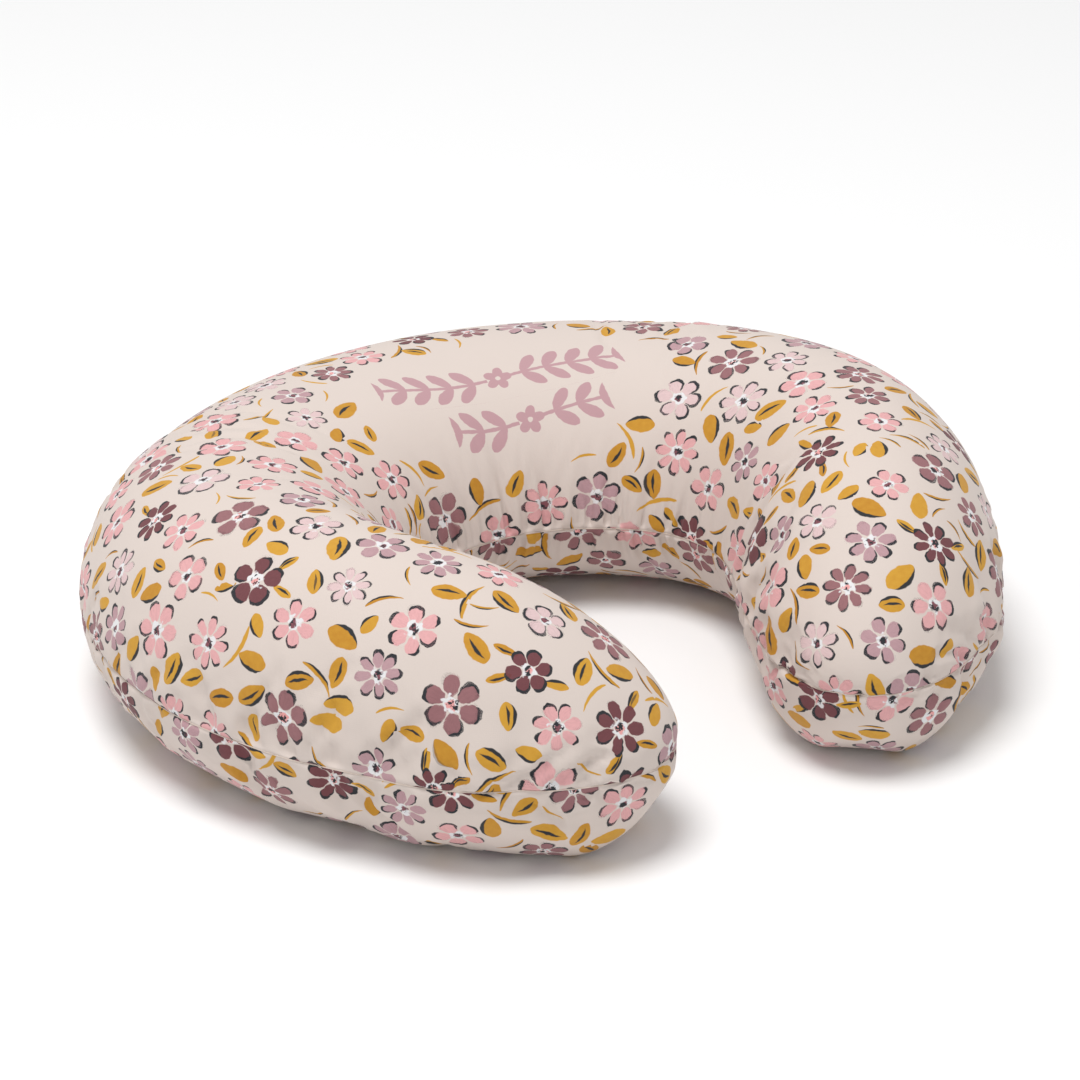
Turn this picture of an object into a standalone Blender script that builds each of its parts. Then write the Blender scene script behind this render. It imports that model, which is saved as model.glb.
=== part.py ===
"""A nursing pillow: a C-shaped, fibre-filled pillow in a zipped slipcover, lying flat.

Metres, +Z up. The origin is under the middle of the pillow's box, on the surface that it lies on. +X runs
across the two arms, +Y points at the closed back, and the waist opening faces -Y.

The pillow is one loft. A spine runs from one arm's tip round the back to the other tip. s is the distance
along it from the middle of the back, and t runs across it, from -1 at the waist edge to 1 at the outer edge.
Every shell inside the outer one is the same loft, inset by a distance.
"""

import math

import bmesh
import bpy
import numpy as np
from mathutils import Matrix, Vector

# ---- the pillow's shape ----
SPINE_HALF = 0.538  # spine length, middle of the back to an arm's tip
BACK_HALF = 0.115  # half of the stretch of spine that is a plain arc
BACK_CURVATURE = 4.8  # 1/m, of the spine over the back
ARM_CURVATURES = (9.6, 4.0, -2.5)  # 1/m, control values from the back to the tip
HALF_WIDTHS = (0.104, 0.080, 0.072, 0.083)  # control values, back to tip
CREST_HEIGHTS = (0.144, 0.178, 0.156, 0.122)  # control values, back to tip
TIP_LENGTH = 0.134  # how far from its end an arm begins to round off
TIP_HEIGHT_POWER = 0.82  # below 1 the arm keeps its height longer than its width
EQUATOR = 0.058  # height of the side seam
TOP_FLATNESS = 2.14
TOP_ROUNDNESS = 1.75
FLAT_SHARE = 0.35  # share of the half width that rests flat on the surface below
BOTTOM_ROUNDNESS = 1.75

# ---- cloth, seams and the pillow inside ----
COVER_CLOTH = 0.0012
CASING_CLOTH = 0.0008
PIECE_GAP = 0.0003  # between pieces that touch
SEAM_GAP = 0.0010  # between the outer edges of two panels, whose inner edges lean towards each other
CASING_INSET = 0.0068
FILL_INSET = 0.0104
COVER_THREAD_RADIUS = 0.0004
COVER_THREAD_INSET = COVER_CLOTH + PIECE_GAP + 0.0006
CASING_THREAD_INSET = CASING_INSET + CASING_CLOTH + PIECE_GAP + 0.0005
CLOSING_STITCH_HALF = 0.060
CLOSING_STITCH_RISE = 0.0022
CLOSING_STITCH_RADIUS = 0.00035
CLOSING_STITCH_STEPS = 24

# ---- labels: blank, one inside the cover and one on the casing ----
LABEL_CLOTH = 0.0003
LABEL_HALF = 0.014
CARE_LABEL_INSET = 0.0034
CARE_LABEL_DROPS = (0.016, 0.046)  # below the side seam
LAW_LABEL_INSET = 0.0046
LAW_LABEL_RISES = (0.014, 0.044)  # above the side seam

# ---- zip, along the outer edge of the back; distances along it are from its middle ----
SLOT_HALF_LENGTH = 0.160
SLOT_HALF_HEIGHT = 0.0052
SLOT_TAPER = 0.004  # spine length over which the slot closes
TAPE_HALF_LENGTH = 0.172
TAPE_DEPTH = 0.0031  # outer face of the tape, below the cover's outer face
TAPE_CLOTH = 0.0006
TAPE_EDGE = 0.00075  # from the zip's centre line
TAPE_WIDTH = 0.0075
COIL_LIFT = 0.0003  # coil's foot above the tape
COIL_THICKNESS = 0.0017
COIL_WIDTH = 0.0018
TOP_STOP_AT = 0.156
TOP_STOP_LENGTH = 0.003
BOTTOM_STOP_AT = -0.1555
BOTTOM_STOP_LENGTH = 0.004
STOP_CLEARANCE = 0.0005
TOPSTITCH_OFFSET = 0.0022  # from the slot's edge
TOPSTITCH_SIZE = 0.0005
BARTACK_AT = 0.1640
BARTACK_SIZE = (0.0024, 0.0008, 0.0150)

# ---- slider; x along the zip towards its closed end, y outwards, z up ----
SLIDER_LENGTH = 0.0100
SLIDER_WIDTH = 0.0080
PLATE_THICKNESS = 0.0010
PLATE_CORNER = 0.0022
COIL_CLEARANCE = 0.00035
TAPE_CLEARANCE = 0.0004
FLANGE_WIDTH = 0.0008
POST_LENGTH = 0.0026
POST_WIDTH = 0.0008
BAIL_LENGTH = 0.0048
BAIL_WIDTH = 0.0016
BAIL_WIRE = 0.0008
BAIL_RISE = 0.0018  # clear height under the bail
JOIN = 0.0002  # how far joined shapes run into each other

# ---- pull tab; its bar lies under the bail ----
TAB_LENGTH = 0.0240
TAB_WIDTH = 0.0056
TAB_THICKNESS = 0.0009
TAB_WINDOW_END = 0.0034
TAB_WINDOW_WIDTH = 0.0025
TAB_HOLE_AT = 0.0195
TAB_HOLE_RADIUS = 0.0013
TAB_PIVOT_RISE = 0.00105  # bar's axis above the slider's plate

# ---- mesh density ----
SPINE_STEPS = 1200
BACK_STATIONS = 11
ARM_STATIONS = 17
TIP_STATIONS = 6
TIP_SHARE = 0.9  # of an arm's rounded end, spanned by its own stations
COVER_CROSS = 10
CASING_CROSS = 8
FILL_CROSS = 14
EDGE_CROWDING = 0.45  # how much closer points lie near the side seam
ARC_STEP = 0.012

COVER_COLOUR = (0.82, 0.74, 0.69)
THREAD_COLOUR = (0.80, 0.74, 0.68)
ZIP_COLOUR = (0.86, 0.80, 0.74)
SLIDER_COLOUR = (0.80, 0.75, 0.70)
CASING_COLOUR = (0.90, 0.90, 0.88)
LABEL_COLOUR = (0.95, 0.95, 0.94)
FILL_COLOUR = (0.93, 0.93, 0.92)
STEEL_COLOUR = (0.70, 0.70, 0.71)


def clear_scene():
    for thing in list(bpy.data.objects):
        bpy.data.objects.remove(thing, do_unlink=True)
    for group in list(bpy.data.collections):
        bpy.data.collections.remove(group)


clear_scene()
parts = bpy.data.collections.new("nursing_pillow")
bpy.context.scene.collection.children.link(parts)


# ---- the spine and the loft ----
def clamp(value):
    return np.clip(value, 0.0, 1.0)


def arm_share(s):
    """0 over the back's arc, then up to 1 at the arm's tip."""
    return clamp((np.abs(s) - BACK_HALF) / (SPINE_HALF - BACK_HALF))


def along_arm(s, values):
    """A value that is constant over the back and runs smoothly to the tip."""
    back, first, second, tip = values
    g = arm_share(s)
    start = (1 - g) ** 4 + 4 * g * (1 - g) ** 3
    return back * start + 6 * first * g**2 * (1 - g) ** 2 + 4 * second * g**3 * (1 - g) + tip * g**4


def build_spine():
    """Stations, x, y and heading of the right half of the spine, y measured from the back's middle."""
    s = np.linspace(0.0, SPINE_HALF, SPINE_STEPS + 1)
    g = arm_share(s)
    first, second, tip = ARM_CURVATURES
    curvature = BACK_CURVATURE * (1 - g) ** 3 + 3 * first * g * (1 - g) ** 2
    curvature = curvature + 3 * second * g**2 * (1 - g) + tip * g**3
    step = s[1] - s[0]
    heading = np.append(0.0, np.cumsum(0.5 * (curvature[1:] + curvature[:-1]) * step))
    middle = 0.5 * (heading[1:] + heading[:-1])
    x = np.append(0.0, np.cumsum(np.cos(middle) * step))
    y = -np.append(0.0, np.cumsum(np.sin(middle) * step))
    return s, x, y, heading


SPINE = build_spine()


def tip_rounding(s, inset):
    """1 along the arm, falling to 0 at its end like the end of an ellipse."""
    left = clamp((SPINE_HALF - inset - np.abs(s)) / TIP_LENGTH)
    return math.sqrt(max(0.0, 1 - (1 - left) ** 2))


def spine_frame(s):
    """The spine's point and outward direction at s."""
    stations, x, y, heading = SPINE
    side = 1.0 if s >= 0 else -1.0
    turn = float(np.interp(abs(s), stations, heading))
    at = (side * float(np.interp(abs(s), stations, x)), float(np.interp(abs(s), stations, y)))
    return at, (side * math.sin(turn), math.cos(turn))


def plan_point(s, t, inset):
    at, outward = spine_frame(s)
    reach = t * (float(along_arm(s, HALF_WIDTHS)) - inset) * tip_rounding(s, inset)
    return at[0] + outward[0] * reach, at[1] + outward[1] * reach


def top_span(s, inset, gap):
    crest = float(along_arm(s, CREST_HEIGHTS)) - inset
    return (crest - EQUATOR - gap) * tip_rounding(s, inset) ** TIP_HEIGHT_POWER


def top_height(s, t, inset, gap):
    roundness = max(0.0, 1 - abs(t) ** TOP_FLATNESS) ** (1 / TOP_ROUNDNESS)
    return EQUATOR + gap + top_span(s, inset, gap) * roundness


def bottom_height(s, t, inset, gap):
    """Flat over the middle, and over each arm until near its tip, then up to the side seam."""
    across = max(0.0, (abs(t) - FLAT_SHARE) / (1 - FLAT_SHARE))
    margin = (1 - FLAT_SHARE) * float(along_arm(s, HALF_WIDTHS))
    along = float(clamp(1 - (SPINE_HALF - inset - abs(s)) / margin))
    depth = 1.0
    for out in (across, along):
        depth *= max(0.0, 1 - out**BOTTOM_ROUNDNESS) ** (1 / BOTTOM_ROUNDNESS)
    return EQUATOR - gap - (EQUATOR - gap - inset) * depth


def outline_middle():
    """Half way between the outer back and the arms' foremost points."""
    edge = [plan_point(s, t, 0.0)[1] for s in np.linspace(0, SPINE_HALF, 400) for t in (-1, 1)]
    return 0.5 * (max(edge) + min(edge))


CENTRE_Y = outline_middle()
ARC_RADIUS = 1 / BACK_CURVATURE + HALF_WIDTHS[0]  # outer edge of the back
ARC_CENTRE = Vector((0.0, -1 / BACK_CURVATURE - CENTRE_Y, EQUATOR))
SPINE_SHARE = 1 / ARC_RADIUS / BACK_CURVATURE  # of a distance along the zip, measured along the spine
SLOT_END = SLOT_HALF_LENGTH * SPINE_SHARE
THREAD_END = SLOT_END + 3 * SLOT_TAPER  # the side seam's thread starts this far from the back's middle


def surface_point(s, t, upper, inset, gap):
    x, y = plan_point(s, t, inset)
    height = top_height(s, t, inset, gap) if upper else bottom_height(s, t, inset, gap)
    return x, y - CENTRE_Y, height


def edge_share(s, rise, upper):
    """The t at which a panel stands rise above or below the side seam."""
    if upper:
        share = clamp(rise / top_span(s, 0.0, 0.0))
        return (1 - share**TOP_ROUNDNESS) ** (1 / TOP_FLATNESS)
    out = (1 - (rise / EQUATOR) ** BOTTOM_ROUNDNESS) ** (1 / BOTTOM_ROUNDNESS)
    return FLAT_SHARE + (1 - FLAT_SHARE) * out


def stations(inset, with_slot):
    """Distances along the spine, tip to tip, closer together at the tips and along the zip."""
    tip = SPINE_HALF - inset
    back = list(np.linspace(0, SLOT_END, BACK_STATIONS if with_slot else BACK_STATIONS // 2))
    first = SLOT_END + SLOT_TAPER
    rounded = TIP_LENGTH * TIP_SHARE
    arm = list(np.linspace(first, tip - rounded, ARM_STATIONS if with_slot else ARM_STATIONS - 3))
    angles = np.linspace(0, math.pi / 2, TIP_STATIONS)[1:]
    end = [tip - rounded * (1 - math.sin(angle)) for angle in angles]
    half = back + arm + end
    return [-s for s in reversed(half[1:])] + half


# ---- mesh helpers ----
def material(name, colour, roughness, metallic=0.0):
    made = bpy.data.materials.get(name)
    if made is None:
        made = bpy.data.materials.new(name)
        made.use_nodes = True
        shader = made.node_tree.nodes["Principled BSDF"]
        shader.inputs["Base Color"].default_value = (*colour, 1.0)
        shader.inputs["Roughness"].default_value = roughness
        shader.inputs["Metallic"].default_value = metallic
    return made


def add_object(name, data, look):
    made = bpy.data.objects.new(name, data)
    parts.objects.link(made)
    if not data.materials:
        data.materials.append(look)
    return made


def grid_mesh(name, rows, upper, ring=False):
    """A mesh of the quads between rows of points, joined at the tips where a row shrinks to a point."""
    sheet = bmesh.new()
    lines = [[sheet.verts.new(point) for point in row] for row in rows]
    count = len(rows[0])
    for here, there in zip(lines, lines[1:]):
        for j in range(count if ring else count - 1):
            k = (j + 1) % count
            corners = (here[j], there[j], there[k], here[k])
            sheet.faces.new(corners[::-1] if upper else corners)
    bmesh.ops.remove_doubles(sheet, verts=sheet.verts, dist=0.00001)
    mesh = bpy.data.meshes.new(name)
    sheet.to_mesh(mesh)
    sheet.free()
    mesh.shade_smooth()
    return mesh


def add_solidify(thing, thickness):
    shell = thing.modifiers.new("cloth", "SOLIDIFY")
    shell.thickness = thickness
    shell.offset = -1.0
    shell.use_even_offset = True
    return shell


def half_section(s, upper, inset, count, rise):
    """Points across the pillow, outer edge to waist edge, starting rise away from the side seam."""
    start = math.acos(min(1.0, edge_share(s, rise, upper))) if rise else 0.0
    even = np.linspace(0, 1, count + 1)
    crowded = even - EDGE_CROWDING * np.sin(2 * math.pi * even) / (2 * math.pi)
    angles = start + (math.pi - start) * crowded
    return [surface_point(s, math.cos(angle), upper, inset, SEAM_GAP / 2) for angle in angles]


def add_panel(name, look, upper, inset, cloth, count, with_slot):
    rows = []
    for s in stations(inset, with_slot):
        rise = SLOT_HALF_HEIGHT if with_slot and abs(s) <= SLOT_END + 1e-9 else 0.0
        rows.append(half_section(s, upper, inset, count, rise))
    panel = add_object(name, grid_mesh(name, rows, upper), look)
    add_solidify(panel, cloth)
    return panel


def add_thread(name, look, points, radius):
    path = bpy.data.curves.new(name, "CURVE")
    path.dimensions = "3D"
    path.bevel_depth = radius
    path.bevel_resolution = 0
    path.use_fill_caps = True
    line = path.splines.new("POLY")
    line.points.add(len(points) - 1)
    for place, point in zip(line.points, points):
        place.co = (*point, 1.0)
    return add_object(name, path, look)


def side_seam_path(inset, gap_half, with_slot):
    """Along the side seam, round both arms, from one end of a gap in the back to its other end."""
    every = stations(inset, with_slot)
    stops = [gap_half] + [s for s in every if s > gap_half]
    inner = every[1:-1]
    route = [(s, 1) for s in stops] + [(s, -1) for s in reversed(inner)] + [(-s, 1) for s in reversed(stops)]
    return [(*surface_point(s, t, True, inset, 0.0)[:2], EQUATOR) for s, t in route]


def arc_point(distance, radius):
    """In the zip's own plane: a point at a distance along the back's outer edge, on a given radius."""
    angle = distance / ARC_RADIUS
    return radius * math.sin(angle), radius * math.cos(angle)


def outline_curve(name, points, half_thickness):
    flat = bpy.data.curves.new(name, "CURVE")
    flat.dimensions = "2D"
    flat.fill_mode = "BOTH"
    flat.extrude = half_thickness
    line = flat.splines.new("POLY")
    line.points.add(len(points) - 1)
    for place, point in zip(line.points, points):
        place.co = (point[0], point[1], 0.0, 1.0)
    line.use_cyclic_u = True
    return flat


def add_arc_strip(name, look, start, end, inner, outer, low, high):
    """A strip bent round the back's arc, between two radii and two heights above the side seam."""
    steps = max(2, math.ceil((end - start) / ARC_STEP))
    along = np.linspace(start, end, steps + 1)
    points = [arc_point(d, outer) for d in along] + [arc_point(d, inner) for d in reversed(along)]
    strip = add_object(name, outline_curve(name, points, 0.5 * (high - low)), look)
    strip.location = ARC_CENTRE + Vector((0, 0, 0.5 * (low + high)))
    return strip


def box_mesh(name, low, high):
    """A box between two corners."""
    box = bmesh.new()
    bmesh.ops.create_cube(box, size=1.0)
    size = Vector(high) - Vector(low)
    centre = 0.5 * (Vector(high) + Vector(low))
    for vert in box.verts:
        vert.co = Vector([vert.co[i] * size[i] + centre[i] for i in range(3)])
    mesh = bpy.data.meshes.new(name)
    box.to_mesh(mesh)
    box.free()
    return mesh


def evaluated_mesh(thing):
    bpy.context.view_layer.update()
    graph = bpy.context.evaluated_depsgraph_get()
    mesh = bpy.data.meshes.new_from_object(thing.evaluated_get(graph))
    weld = bmesh.new()
    weld.from_mesh(mesh)
    bmesh.ops.remove_doubles(weld, verts=weld.verts, dist=0.000001)
    weld.to_mesh(mesh)
    weld.free()
    return mesh


def combine(mesh, other, operation):
    """The first mesh joined with, or cut by, the second."""
    target = bpy.data.objects.new("target", mesh)
    tool = bpy.data.objects.new("tool", other)
    for thing in (target, tool):
        bpy.context.scene.collection.objects.link(thing)
    step = target.modifiers.new("step", "BOOLEAN")
    step.operation = operation
    step.object = tool
    result = evaluated_mesh(target)
    for thing in (target, tool):
        bpy.data.objects.remove(thing, do_unlink=True)
    return result


def rounded_plate(name, x_low, x_high, width, corner, y_low, y_high):
    """A plate with round corners, flat in x and z, between two values of y."""
    points = []
    half = width / 2
    centres = ((x_high - corner, half - corner), (x_low + corner, half - corner))
    centres = centres + ((x_low + corner, corner - half), (x_high - corner, corner - half))
    for quarter, (x, z) in enumerate(centres):
        for step in range(4):
            angle = math.pi / 2 * (quarter + step / 3)
            points.append((x + corner * math.cos(angle), z + corner * math.sin(angle)))
    plate = bpy.data.objects.new(name, outline_curve(name, points, 0.5 * (y_high - y_low)))
    bpy.context.scene.collection.objects.link(plate)
    mesh = evaluated_mesh(plate)
    bpy.data.objects.remove(plate, do_unlink=True)
    mesh.transform(Matrix.Translation((0, 0.5 * (y_low + y_high), 0)) @ Matrix.Rotation(math.pi / 2, 4, "X"))
    return mesh


# ---- the slipcover ----
def make_cover():
    cloth = material("printed_cotton", COVER_COLOUR, 0.85)
    thread = material("cover_thread", THREAD_COLOUR, 0.7)
    add_panel("cover_top_panel", cloth, True, 0.0, COVER_CLOTH, COVER_CROSS, True)
    add_panel("cover_bottom_panel", cloth, False, 0.0, COVER_CLOTH, COVER_CROSS, True)
    path = side_seam_path(COVER_THREAD_INSET, THREAD_END, True)
    add_thread("cover_seam_thread", thread, path, COVER_THREAD_RADIUS)


def add_label(name, look, upper, inset, offsets):
    """A blank label against the back, between two distances from the side seam."""
    rows = []
    for s in np.linspace(-LABEL_HALF, LABEL_HALF, 5):
        spans = [edge_share(s, offset, upper) for offset in np.linspace(*offsets, 4)]
        rows.append([surface_point(s, t, upper, inset, 0.0) for t in spans])
    label = add_object(name, grid_mesh(name, rows, upper), look)
    add_solidify(label, LABEL_CLOTH)


def make_labels():
    look = material("label_satin", LABEL_COLOUR, 0.45)
    add_label("cover_care_label", look, False, CARE_LABEL_INSET, CARE_LABEL_DROPS)
    add_label("inner_law_label", look, True, LAW_LABEL_INSET, LAW_LABEL_RISES)


# ---- the zip ----
TAPE_OUTER = ARC_RADIUS - TAPE_DEPTH
COIL_FOOT = TAPE_OUTER + COIL_LIFT
COIL_TOP = COIL_FOOT + COIL_THICKNESS
COIL_HIGH = TAPE_EDGE + COIL_WIDTH


def add_mirrored_strips(name, look, start, end, inner, outer, low, high):
    add_arc_strip(name + "_upper", look, start, end, inner, outer, low, high)
    add_arc_strip(name + "_lower", look, start, end, inner, outer, -high, -low)


def make_zip_chain():
    tape = material("zip_tape", ZIP_COLOUR, 0.8)
    coil = material("zip_coil", ZIP_COLOUR, 0.4)
    stop = material("zip_stop", STEEL_COLOUR, 0.35, 1.0)
    inner = TAPE_OUTER - TAPE_CLOTH
    reach = TAPE_HALF_LENGTH
    add_mirrored_strips("zip_tape", tape, -reach, reach, inner, TAPE_OUTER, TAPE_EDGE, TAPE_WIDTH)
    low_end = BOTTOM_STOP_AT + BOTTOM_STOP_LENGTH / 2 + PIECE_GAP
    high_end = TOP_STOP_AT - TOP_STOP_LENGTH / 2 - PIECE_GAP
    add_mirrored_strips("zip_coil", coil, low_end, high_end, COIL_FOOT, COIL_TOP, TAPE_EDGE, COIL_HIGH)
    first = TOP_STOP_AT - TOP_STOP_LENGTH / 2
    last = TOP_STOP_AT + TOP_STOP_LENGTH / 2
    add_mirrored_strips("zip_top_stop", stop, first, last, COIL_FOOT, COIL_TOP, TAPE_EDGE, COIL_HIGH)
    first = BOTTOM_STOP_AT - BOTTOM_STOP_LENGTH / 2
    last = BOTTOM_STOP_AT + BOTTOM_STOP_LENGTH / 2
    add_arc_strip("zip_bottom_stop", stop, first, last, COIL_FOOT, COIL_TOP, -COIL_HIGH, COIL_HIGH)


def make_zip_stitching():
    thread = material("cover_thread", THREAD_COLOUR, 0.7)
    low = SLOT_HALF_HEIGHT + TOPSTITCH_OFFSET
    high = low + TOPSTITCH_SIZE
    reach = SLOT_HALF_LENGTH
    inner = ARC_RADIUS + PIECE_GAP
    add_mirrored_strips("zip_topstitch", thread, -reach, reach, inner, inner + TOPSTITCH_SIZE, low, high)
    for name, side in (("zip_bartack_closed", 1), ("zip_bartack_open", -1)):
        length, depth, height = BARTACK_SIZE
        first = side * BARTACK_AT - length / 2
        last = side * BARTACK_AT + length / 2
        add_arc_strip(name, thread, first, last, inner, inner + depth, -height / 2, height / 2)


def slider_mesh():
    """The slider round the chain, with y measured from the back arc's centre."""
    half = SLIDER_LENGTH / 2
    plate_low = COIL_TOP + COIL_CLEARANCE
    plate_high = plate_low + PLATE_THICKNESS
    under_high = TAPE_OUTER - TAPE_CLOTH - TAPE_CLEARANCE
    under_low = under_high - PLATE_THICKNESS
    mesh = rounded_plate("slider", -half, half, SLIDER_WIDTH, PLATE_CORNER, plate_low, plate_high)
    under = rounded_plate("under", -half, half, SLIDER_WIDTH, PLATE_CORNER, under_low, under_high)
    post_x = half - POST_LENGTH - PLATE_THICKNESS / 2
    post_low = (post_x, under_low + JOIN, -POST_WIDTH / 2)
    post_high = (post_x + POST_LENGTH, plate_low + JOIN, POST_WIDTH / 2)
    mesh = combine(mesh, box_mesh("post", post_low, post_high), "UNION")
    mesh = combine(mesh, under, "UNION")
    flange = half - PLATE_CORNER
    for side in (-1, 1):
        near = side * (SLIDER_WIDTH / 2 - FLANGE_WIDTH - JOIN)
        far = side * (SLIDER_WIDTH / 2 - JOIN)
        low = (-flange, TAPE_OUTER + TAPE_CLEARANCE, min(near, far))
        high = (flange, plate_low + JOIN, max(near, far))
        mesh = combine(mesh, box_mesh("flange", low, high), "UNION")
    return combine(mesh, bail_mesh(plate_high), "UNION")


def bail_mesh(plate):
    """The arch over the slider's outer plate that holds the pull tab."""
    length = BAIL_LENGTH / 2
    top = plate + BAIL_RISE + BAIL_WIRE
    arch = box_mesh("bail", (-length, plate - JOIN, -BAIL_WIDTH / 2), (length, top, BAIL_WIDTH / 2))
    inside = length - BAIL_WIRE
    low = (-inside, plate - 2 * JOIN, -BAIL_WIDTH)
    window = box_mesh("window", low, (inside, plate + BAIL_RISE, BAIL_WIDTH))
    return combine(arch, window, "DIFFERENCE")


def tab_mesh():
    """The pull tab, its bar on the pivot and its length along -x."""
    bar = TAB_THICKNESS / 2
    mesh = rounded_plate("tab", -TAB_LENGTH, bar, TAB_WIDTH, TAB_WIDTH / 2 - bar, -bar, bar)
    half = TAB_WINDOW_WIDTH / 2
    window = box_mesh("window", (-TAB_WINDOW_END, -TAB_THICKNESS, -half), (-bar, TAB_THICKNESS, half))
    mesh = combine(mesh, window, "DIFFERENCE")
    hole = bmesh.new()
    turn = Matrix.Translation((-TAB_HOLE_AT, 0, 0)) @ Matrix.Rotation(math.pi / 2, 4, "X")
    bmesh.ops.create_cone(
        hole,
        cap_ends=True,
        segments=16,
        radius1=TAB_HOLE_RADIUS,
        radius2=TAB_HOLE_RADIUS,
        depth=3 * TAB_THICKNESS,
        matrix=turn,
    )
    cutter = bpy.data.meshes.new("hole")
    hole.to_mesh(cutter)
    hole.free()
    return combine(mesh, cutter, "DIFFERENCE")


def make_slider():
    """The slider at the closed end of its travel, and its pull tab lying back over the chain."""
    look = material("slider_enamel", SLIDER_COLOUR, 0.3, 0.2)
    rest = TOP_STOP_AT - TOP_STOP_LENGTH / 2 - STOP_CLEARANCE - SLIDER_LENGTH / 2
    slide = bpy.data.objects.new("zip_slide_axis", None)
    slide.location = ARC_CENTRE
    slide.rotation_euler = (0, 0, -rest / ARC_RADIUS)
    parts.objects.link(slide)
    slider = add_object("zip_slider_body", slider_mesh(), look)
    slider.parent = slide
    swing = bpy.data.objects.new("pull_tab_axis", None)
    swing.parent = slide
    swing.location = (0, COIL_TOP + COIL_CLEARANCE + PLATE_THICKNESS + TAB_PIVOT_RISE, 0)
    parts.objects.link(swing)
    tab = add_object("zip_pull_tab", tab_mesh(), look)
    tab.parent = swing


# ---- the pillow inside ----
def make_inner_pillow():
    casing = material("inner_casing_cloth", CASING_COLOUR, 0.85)
    thread = material("inner_thread", CASING_COLOUR, 0.7)
    add_panel("inner_casing_top", casing, True, CASING_INSET, CASING_CLOTH, CASING_CROSS, False)
    add_panel("inner_casing_bottom", casing, False, CASING_INSET, CASING_CLOTH, CASING_CROSS, False)
    path = side_seam_path(CASING_THREAD_INSET, CLOSING_STITCH_HALF * SPINE_SHARE, False)
    add_thread("inner_casing_seam_thread", thread, path, COVER_THREAD_RADIUS)
    add_closing_stitch(thread)
    fibre = material("fibre", FILL_COLOUR, 0.95)
    angles = [2 * math.pi * (step + 0.5) / FILL_CROSS for step in range(FILL_CROSS)]
    rows = [
        [surface_point(s, math.cos(angle), math.sin(angle) > 0, FILL_INSET, 0.0) for angle in angles]
        for s in stations(FILL_INSET, False)
    ]
    add_object("fibre_fill", grid_mesh("fibre_fill", rows, True, ring=True), fibre)


def add_closing_stitch(look):
    """The slip stitch that closes the gap the casing was filled through."""
    radius = ARC_RADIUS - CASING_INSET + PIECE_GAP + CLOSING_STITCH_RADIUS
    points = []
    for step in range(CLOSING_STITCH_STEPS + 1):
        distance = CLOSING_STITCH_HALF * (2 * step / CLOSING_STITCH_STEPS - 1)
        x, y = arc_point(distance, radius)
        rise = CLOSING_STITCH_RISE * (1 if step % 2 else -1)
        points.append(ARC_CENTRE + Vector((x, y, rise)))
    add_thread("inner_closing_stitch", look, [tuple(point) for point in points], CLOSING_STITCH_RADIUS)


make_cover()
make_labels()
make_zip_chain()
make_zip_stitching()
make_slider()
make_inner_pillow()
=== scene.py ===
"""The looks of the nursing pillow: a puffed slipcover with a flower print, its zip and its inner pillow.

Metres, in the row frame. The pillow is the same loft as the CAD part: s is the distance along its spine
from the middle of the back, and a section at s is a closed curve with one side seam on each side.
"""

import math

import bmesh
import bpy
import numpy as np
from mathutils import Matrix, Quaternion, Vector


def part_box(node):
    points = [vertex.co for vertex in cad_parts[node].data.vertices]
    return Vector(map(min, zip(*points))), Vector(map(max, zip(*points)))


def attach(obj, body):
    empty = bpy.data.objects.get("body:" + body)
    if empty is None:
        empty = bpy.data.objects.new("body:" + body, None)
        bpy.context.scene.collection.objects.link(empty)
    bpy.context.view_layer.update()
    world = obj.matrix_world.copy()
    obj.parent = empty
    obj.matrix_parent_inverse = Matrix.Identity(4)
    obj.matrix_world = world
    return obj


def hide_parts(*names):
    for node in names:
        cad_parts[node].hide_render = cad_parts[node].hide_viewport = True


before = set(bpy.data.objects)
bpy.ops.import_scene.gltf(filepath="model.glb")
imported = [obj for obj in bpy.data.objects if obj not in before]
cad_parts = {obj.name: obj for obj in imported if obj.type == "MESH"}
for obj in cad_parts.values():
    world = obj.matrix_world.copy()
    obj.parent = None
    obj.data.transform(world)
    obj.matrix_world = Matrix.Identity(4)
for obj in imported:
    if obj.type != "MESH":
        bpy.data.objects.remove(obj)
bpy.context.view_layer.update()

# ---- the loft's driving dimensions, as in the CAD part ----
SPINE_HALF = 0.538
BACK_HALF = 0.115
BACK_CURVATURE = 4.8
ARM_CURVATURES = (9.6, 4.0, -2.5)
HALF_WIDTHS = (0.104, 0.080, 0.072, 0.083)
CREST_HEIGHTS = (0.144, 0.178, 0.156, 0.122)
TIP_LENGTH = 0.134
TIP_HEIGHT_POWER = 0.82
EQUATOR = 0.058
TOP_FLATNESS = 2.14
TOP_ROUNDNESS = 1.75
FLAT_SHARE = 0.35
BOTTOM_ROUNDNESS = 1.75
SLOT_HALF_LENGTH = 0.160
SLOT_HALF_HEIGHT = 0.0052
CASING_INSET = 0.0068
FILL_INSET = 0.0104

# ---- mesh density and cloth ----
COVER_STATIONS = 470
TOP_ROWS = 84
BOTTOM_ROWS = 62
INNER_STATIONS = 190
INNER_ROWS = 44
SEAM_ROWS = (0.0, 0.0016, 0.0036, 0.0068, 0.0118, 0.0190)  # shares of a section, beside a seam
SECTION_STEPS = 721
WELD = 0.00001
COVER_CLOTH = 0.0010
CASING_CLOTH = 0.0006
FLOOR_GAP = 0.0003

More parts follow.
